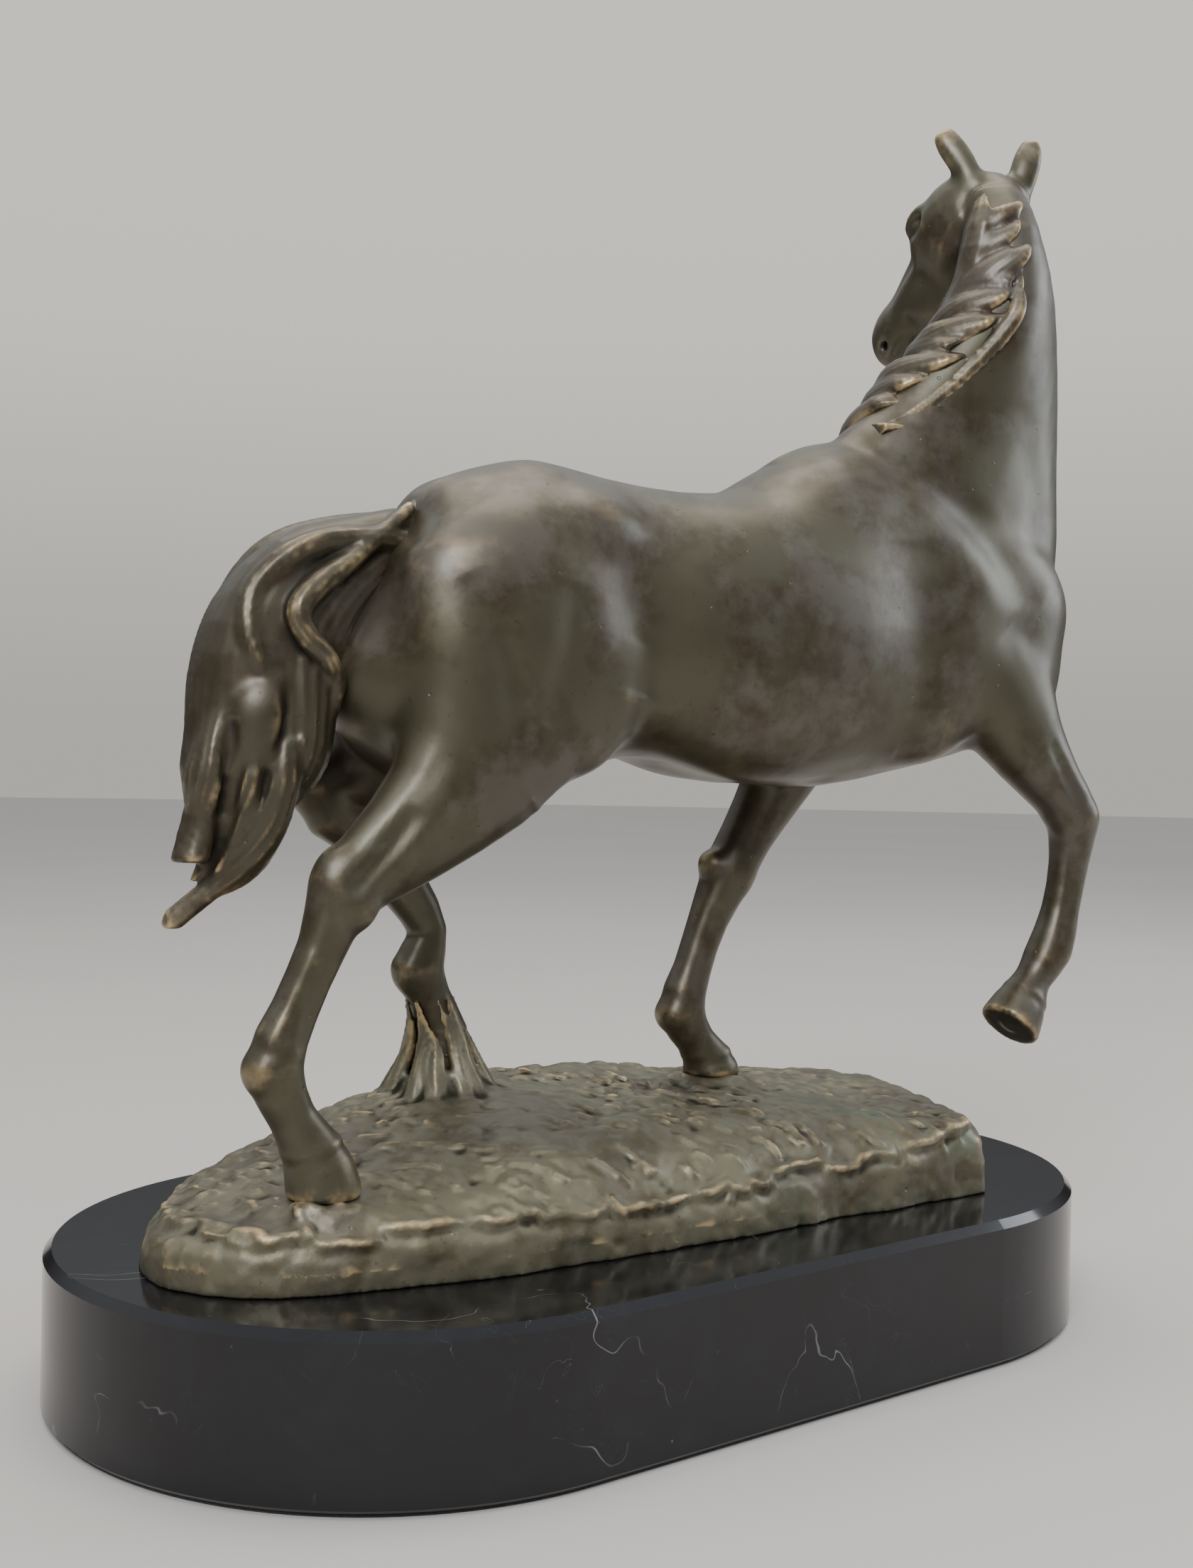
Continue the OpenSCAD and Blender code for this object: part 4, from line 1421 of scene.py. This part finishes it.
@dataclass
class Tail:
    """The carried tail: combed locks over a solid core, with a flicked tip.

    Attributes:
        grain: grid of the clay, in metres.
        groove: depth of the combed grooves.
        LOCKS: the locks, in the order they are laid on.
        GROOVES: the deep grooves between them.
    """

    grain: float = 0.48 * MM
    groove: float = 0.6 * MM

    LOCKS = (
        Hair([(-58, 0, 131), (-74, 1, 126.5), (-89, 2, 120), (-98.5, 2, 110), (-103, 1, 98), (-105, 0, 86),
              (-106.5, -1, 77), (-108.5, -2, 70)], [5, 7, 8.5, 9, 9, 8, 7, 4.5], (-1, -0.5, 0.5), 0.8, 26),
        Hair([(-59, -4, 127.5), (-74, -6.5, 127), (-86, -7.5, 125), (-94.5, -7, 120.5), (-100, -6, 114),
              (-101.5, -7.5, 107), (-100.5, -8.8, 101), (-98, -9.8, 95)], [2, 3, 3.2, 3.2, 3, 2.8, 2.4, 1.4],
             (-0.4, -1, 0.5), 0.9, 10),
        Hair([(-70, -6, 130), (-80, -9, 122), (-89, -11, 115), (-92.5, -12, 110), (-90.5, -12, 105),
              (-86, -11.5, 101), (-83, -9, 96), (-84, -8, 88)], [2, 3, 3.2, 3.1, 2.9, 3, 2.8, 1.6],
             (-0.3, -1, 0.3), 0.9, 10),
        Hair([(-66, -2, 128), (-80, -2, 116), (-88, -3, 104), (-90, -4, 92), (-91, -5, 80), (-95, -5, 70)],
             [5, 8, 9.5, 9.5, 8, 4], (-0.2, -1, 0), 0.8, 22),
        Hair([(-96, -8, 98), (-99, -9.5, 92), (-100.5, -9.8, 86), (-101, -9, 79), (-102.5, -7, 72)],
             [4, 5.5, 5, 3.5, 1.6], (-0.3, -1, 0.3), 0.5, 0),
        Hair([(-104, -4, 92), (-106.5, -5, 83), (-109, -5, 75), (-110, -4.5, 68)], [4, 5.5, 5.5, 3.4],
             (-1, -1, 0), 0.75, 16),
        Hair([(-93, -7, 88), (-95, -8.5, 78), (-97, -7.5, 69), (-99.5, -5.5, 62), (-102.5, -3.5, 57),
              (-106.5, -1.5, 53)], [3, 5, 5.6, 5.4, 4.6, 2.8], (-0.5, -1, 0.2), 0.75, 12),
        Hair([(-99, -9, 84), (-101, -9.5, 76), (-101.5, -8, 69), (-104, -6, 62)], [1.6, 2.6, 2.6, 1.2],
             (-0.4, -1, 0.1), 0.9, 6),
        Hair([(-60, 7, 132), (-76, 9, 128), (-89, 11, 122), (-97, 11, 111), (-100, 11, 98), (-100, 9, 84),
              (-102, 6, 72)], [4, 6, 7, 7, 6.5, 6, 2.5], (-0.4, 1, 0.4), 0.75, 18),
        Hair([(-70, 7, 126), (-82, 9, 114), (-88, 9.5, 100), (-89, 8, 86), (-92, 4, 74)],
             [3, 5.5, 6.5, 6, 2.5], (0, 1, 0.1), 0.75, 16))
    GROOVES = (
        Fold([(-78, -9.5, 126), (-90, -12, 121), (-98, -12, 113), (-99, -12.5, 104)], 2.2, -1.6),
        Fold([(-72, -10, 123), (-80, -12, 114), (-84, -12, 106), (-79, -10, 98)], 2.2, -1.4),
        Fold([(-94, -12, 100), (-94, -12.5, 92), (-92, -11, 84)], 2.0, -1.4),
        Fold([(-105, -9, 88), (-106.5, -8, 78), (-106, -6, 68)], 1.6, -1.5),
        Fold([(-98, -11, 78), (-99, -9, 70), (-103, -6, 62)], 1.2, -1.0))

    def build(self) -> bpy.types.Object:
        """Models the tail.

        Returns:
            The piece, dressed and riding on the frame.
        """
        low, high = low_of("tail_casting"), high_of("tail_casting")
        clay = Clay(low - 3 * MM, high + 3 * MM, self.grain)
        clay.pack_mesh(bpy.data.objects["tail_casting"], 1 * MM, shrink=2.4 * MM)
        for hair in self.LOCKS:
            clay.lock(HORSE.to_world(hair.path), np.array(hair.radii) * MM, HORSE.way(hair.out), 0.8 * MM,
                      hair.flat, hair.strands, self.groove, 1.3)
        for fold in self.GROOVES:
            clay.stroke(HORSE.to_world(fold.path), fold.width * MM, fold.height * MM)
        clay.fill_hollows()
        clay.soften(0.3 * MM)
        piece = clay.to_mesh("tail_locks")
        dress(piece, HAIR_BRONZE.make())
        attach(piece, "root")
        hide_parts("tail_casting")
        return piece


# ---------------------------------------------------------------- ground

@dataclass
class Ground:
    """The bronze ground with its grass, ragged lip and chiselled wall.

    Attributes:
        grain: grid of the clay, in metres.
        blades: how many strokes of grass.
        seed: chooses their places.
        hidden_height: the foot of the wall, up to here, isn't rubbed.
        foot: level of the marble's top.
    """

    grain: float = 0.6 * MM
    blades: int = 620
    seed: int = 11
    hidden_height: float = 4 * MM
    foot: float = field(init=False)

    def __post_init__(self) -> None:
        """Finds the level that the ground sits on."""
        self.foot = low_of("ground_casting")[2]

    def build(self) -> bpy.types.Object:
        """Models the ground.

        Returns:
            The piece, dressed and riding on the frame.
        """
        low, high = low_of("ground_casting"), high_of("ground_casting")
        clay = Clay(low, high + np.array([0, 0, 12 * MM]), self.grain)
        clay.pack_mesh(bpy.data.objects["ground_casting"], 1 * MM)
        self.fill_down(clay)
        clay.soften(1.8 * MM)
        touch = CastingSurface(("ground_casting",))
        self.roughen(clay)
        self.grow_grass(clay, touch)
        self.raise_lip(clay, touch)
        self.root_hoof(clay)
        self.cut_foot(clay)
        piece = clay.to_mesh("ground_with_grass")
        self.dull_foot(piece.data)
        dress(piece, GROUND_BRONZE.make())
        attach(piece, "root")
        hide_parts("ground_casting")
        return piece

    @staticmethod
    def fill_down(clay: Clay) -> None:
        """Fills the hollow under the casting's top."""
        clay.depth = np.minimum.accumulate(clay.depth[:, :, ::-1], axis=2)[:, :, ::-1].copy()

    def cut_foot(self, clay: Clay) -> None:
        """Cuts the ground off flat where it sits on the marble."""
        clay.depth = np.maximum(clay.depth, (self.foot - clay.points()[..., 2]).astype(np.float32))

    def roughen(self, clay: Clay) -> None:
        """Gives the whole ground the lumps of worked clay."""
        near = np.abs(clay.depth) < 4 * MM
        points = clay.points()[near].astype(float)
        swell = lattice_noise(points, 16 * MM, self.seed, 3) * 1.3
        swell += lattice_noise(points, 3.4 * MM, 5, 2) * 0.4
        clay.depth[near] -= (swell * MM).astype(np.float32)

    def dull_foot(self, mesh: bpy.types.Mesh) -> None:
        """Takes the foot of the wall out of the rubbed ridges, since no hand reaches it."""
        hidden = read(mesh.vertices, "co")[:, 2] < self.foot + self.hidden_height
        for name in RELIEF_ROUNDS:
            values = mesh.attributes[name].data
            relief = read(values, "value", width=1)[:, 0]
            values.foreach_set("value", np.where(hidden, np.minimum(relief, 0), relief))

    def on_top(self, touch: CastingSurface, x: float, y: float) -> Array | None:
        """Place on the ground's top above x and y, or None."""
        return touch.hit(np.array([x, y, self.foot + 0.1]), np.array([0, 0, -1.0]))

    def grow_grass(self, clay: Clay, touch: CastingSurface) -> None:
        """Draws curved strokes of grass over the top."""
        rng = np.random.default_rng(self.seed)
        low, high = low_of("ground_casting"), high_of("ground_casting")
        for _ in range(self.blades):
            x, y = low[:2] + (high[:2] - low[:2]) * rng.uniform(0.03, 0.97, 2)
            field_turn = float(lattice_noise(np.array([[x, y, 0.0]]), 45 * MM, 3, 2)[0])
            turn = math.radians(-52 + 60 * field_turn + rng.normal(0, 13))
            length, bend = rng.uniform(3, 8) * MM, rng.normal(0, 0.5)
            path = []
            for step in (-0.5, 0.0, 0.5):
                a = turn + bend * step
                spot = self.on_top(touch, x + step * length * math.cos(a), y + step * length * math.sin(a))
                if spot is None or spot[2] < self.foot + 6 * MM:
                    break
                path.append(spot)
            if len(path) == 3:
                clay.stroke(np.array(path), rng.uniform(0.6, 1.15) * MM, rng.uniform(0.5, 1.15) * MM)

    def raise_lip(self, clay: Clay, touch: CastingSurface) -> None:
        """Raises a ragged, broken lip where the top meets the wall."""
        rng = np.random.default_rng(self.seed + 1)
        low, high = low_of("ground_casting"), high_of("ground_casting")
        middle = (low + high) / 2
        start = 0.0
        while start < 2 * math.pi:
            span, inset = rng.uniform(0.10, 0.30), rng.uniform(0.93, 0.975)
            path = []
            for a in np.linspace(start, start + span, 6):
                way = np.array([math.cos(a), math.sin(a), 0.0])
                outside = np.array([middle[0], middle[1], self.foot + 5 * MM]) + way * 0.2
                wall = touch.hit(outside, -way)
                if wall is None:
                    continue
                x, y = middle[:2] + (wall[:2] - middle[:2]) * (inset + rng.uniform(-0.012, 0.012))
                spot = self.on_top(touch, x, y)
                if spot is not None:
                    path.append(spot)
            if len(path) > 2:
                clay.stroke(np.array(path), rng.uniform(1.0, 1.7) * MM, rng.uniform(0.8, 1.5) * MM)
                drop = np.array(path) + (np.array(path) - middle) * [0.03, 0.03, 0] - [0, 0, 1.8 * MM]
                clay.stroke(drop, 1.3 * MM, -0.9 * MM)
            start += span * rng.uniform(0.75, 1.1)

    def root_hoof(self, clay: Clay) -> None:
        """Grows rooted grass up the left hind pastern."""
        rng = np.random.default_rng(self.seed + 2)
        for turn in np.arange(0, 360, 30):
            a = math.radians(turn + rng.uniform(-10, 10))
            c, s = math.cos(a), math.sin(a)
            top = rng.uniform(17, 29)
            path = [(-43 + 11 * c, 21 + 11 * s, 5), (-43 + 8 * c, 21 + 8 * s, 11),
                    (-44 + 6 * c, 20.7 + 6 * s, (11 + top) / 2), (-46 + 5 * c, 20.5 + 5 * s, top)]
            clay.lock(HORSE.to_world(path), np.array((2.6, 2.3, 1.7, 0.7)) * MM, np.array([c, s, 0.2]),
                      1.0 * MM, strands=6, groove=0.4 * MM)


# ---------------------------------------------------------------- base, hardware and studio


class Hardware:
    """The marble, the felt and what is hidden inside: frame nodes that keep their shape."""

    STEEL_NODES = ("anchor_studs", "anchor_washers", "anchor_nuts")
    BRONZE_NODES = ("ground_bosses", "hoof_pins", "seam_dowels")

    def dress(self) -> None:
        """Gives each node its finish."""
        steel = Steel().make()
        raw = RAW_BRONZE.make()
        dress(bpy.data.objects["marble_base"], BlackMarble().make())
        dress(bpy.data.objects["felt_pad"], Felt().make())
        for node in self.STEEL_NODES:
            dress(bpy.data.objects[node], steel)
        for node in self.BRONZE_NODES:
            dress(bpy.data.objects[node], raw)


@dataclass
class Studio:
    """Camera, lights and pale floor.

    Attributes:
        stand: the camera's place as shares of the marble's length.
        yaw: its heading, clockwise from the +Y way, in degrees.
        pitch: its tilt up.
        roll: its lean.
        lens: focal length, in millimetres.
        sensor: width of the sensor, in millimetres.
        far: the backdrop's tone behind the floor's far edge.
        wall: its tone higher up.
        horizon: tone of the room beside the horse, which lights it.
        ceiling: tone of the room above it.
        floor_radius: radius of the floor, in metres.
        floor_tones: the two tones that cloud the floor.
        AIM: the place that every light looks at.
    """

    stand: Place = (-1.0003, -1.2609, 0.5121)
    yaw: float = 38.0
    pitch: float = -0.53
    roll: float = -1.0
    lens: float = 40.75
    sensor: float = 36.0
    far: Colour = tone(190, 186, 180)
    wall: Colour = tone(238, 233, 225)
    horizon: Colour = tone(64, 61, 58)
    ceiling: Colour = tone(236, 240, 244)
    floor_radius: float = 6.0
    floor_tones: tuple[Colour, Colour] = (tone(182, 177, 171), tone(192, 187, 181))
    AIM = (0, 0, 0.15)

    def set_up(self) -> None:
        """Makes the whole studio."""
        self.place_camera()
        self.lay_floor()
        self.light()

    def place_camera(self) -> None:
        """Makes the camera at the viewing place."""
        length = high_of("marble_base")[0] - low_of("marble_base")[0]
        data = bpy.data.cameras.new("camera")
        data.lens = self.lens
        data.sensor_width = self.sensor
        data.clip_start = 0.01
        camera = bpy.data.objects.new("camera", data)
        yaw, pitch, roll = (math.radians(v) for v in (self.yaw, self.pitch, self.roll))
        turn = (Matrix.Rotation(-yaw, 3, "Z") @ Matrix.Rotation(math.pi / 2 + pitch, 3, "X")
                @ Matrix.Rotation(-roll, 3, "Z"))
        camera.matrix_world = Matrix.Translation(Vector(self.stand) * length) @ turn.to_4x4()
        bpy.context.scene.collection.objects.link(camera)
        bpy.context.scene.camera = camera

    def lay_floor(self) -> None:
        """Makes a large pale floor."""
        turns = np.linspace(0, 2 * math.pi, 65)[:-1]
        rim = [(self.floor_radius * math.cos(a), self.floor_radius * math.sin(a), 0.0) for a in turns]
        floor = new_mesh("floor", np.array(rim), [list(range(len(rim)))], smooth=False)
        material, b, shader = new_material("pale_floor")
        cloud = b.cloud(0.4, 3.0).outputs["Fac"]
        feed(b, shader, Base_Color=b.mixed(cloud, *self.floor_tones), Roughness=0.8)
        dress(floor, material)

    def light(self) -> None:
        """Hangs the soft lights and sets the pale surroundings."""
        world = bpy.data.worlds.new("pale_room")
        world.use_nodes = True
        bpy.context.scene.world = world
        b = NodeBench(world.node_tree)
        look = b.add("ShaderNodeTexCoord").outputs["Generated"]
        up = b.add("ShaderNodeSeparateXYZ", {0: look}).outputs["Z"]
        sky = world.node_tree.nodes["Background"]
        room = b.mixed(b.ramp(up, 0.05, 0.7), self.horizon, self.ceiling)
        seen = b.add("ShaderNodeLightPath").outputs["Is Camera Ray"]
        backdrop = b.mixed(b.ramp(up, 0.0, 0.3), self.far, self.wall)
        b.tree.links.new(b.mixed(seen, room, backdrop), sky.inputs["Color"])
        self.hang("window", (-0.75, -0.75, 0.95), 0.55, 0.45, 15.0, tone(246, 248, 255))
        self.hang("ceiling", (0.1, 0.15, 1.5), 1.2, 0.9, 12.5, tone(255, 246, 234))
        self.hang("side_window", (1.3, -0.5, 0.6), 0.7, 0.7, 7.0, tone(240, 246, 255))

    def hang(self, name: str, place: Place, width: float, height: float, power: float,
             colour: Colour) -> None:
        """Hangs one soft light that looks at the horse.

        Args:
            name: its name.
            place: its middle, in metres.
            width: width of its face.
            height: height of its face.
            power: its power, in watts.
            colour: its colour.
        """
        data = bpy.data.lights.new(name, "AREA")
        data.shape = "RECTANGLE"
        data.size = width
        data.size_y = height
        data.energy = power
        data.color = colour[:3]
        lamp = bpy.data.objects.new(name, data)
        turn = (Vector(self.AIM) - Vector(place)).to_track_quat("-Z", "Y")
        lamp.matrix_world = Matrix.Translation(Vector(place)) @ turn.to_matrix().to_4x4()
        bpy.context.scene.collection.objects.link(lamp)


def main() -> None:
    """Builds every piece in order and reports it."""
    logging.basicConfig(level=logging.INFO, format="%(message)s")
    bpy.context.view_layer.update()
    Hardware().dress()
    LOG.info("base and hardware dressed")
    for maker in (Ground(), HorseSkin(), Mane(), Tail()):
        piece = maker.build()
        LOG.info("%s: %d faces", piece.name, len(piece.data.polygons))
    Studio().set_up()


if __name__ == "__main__":
    main()
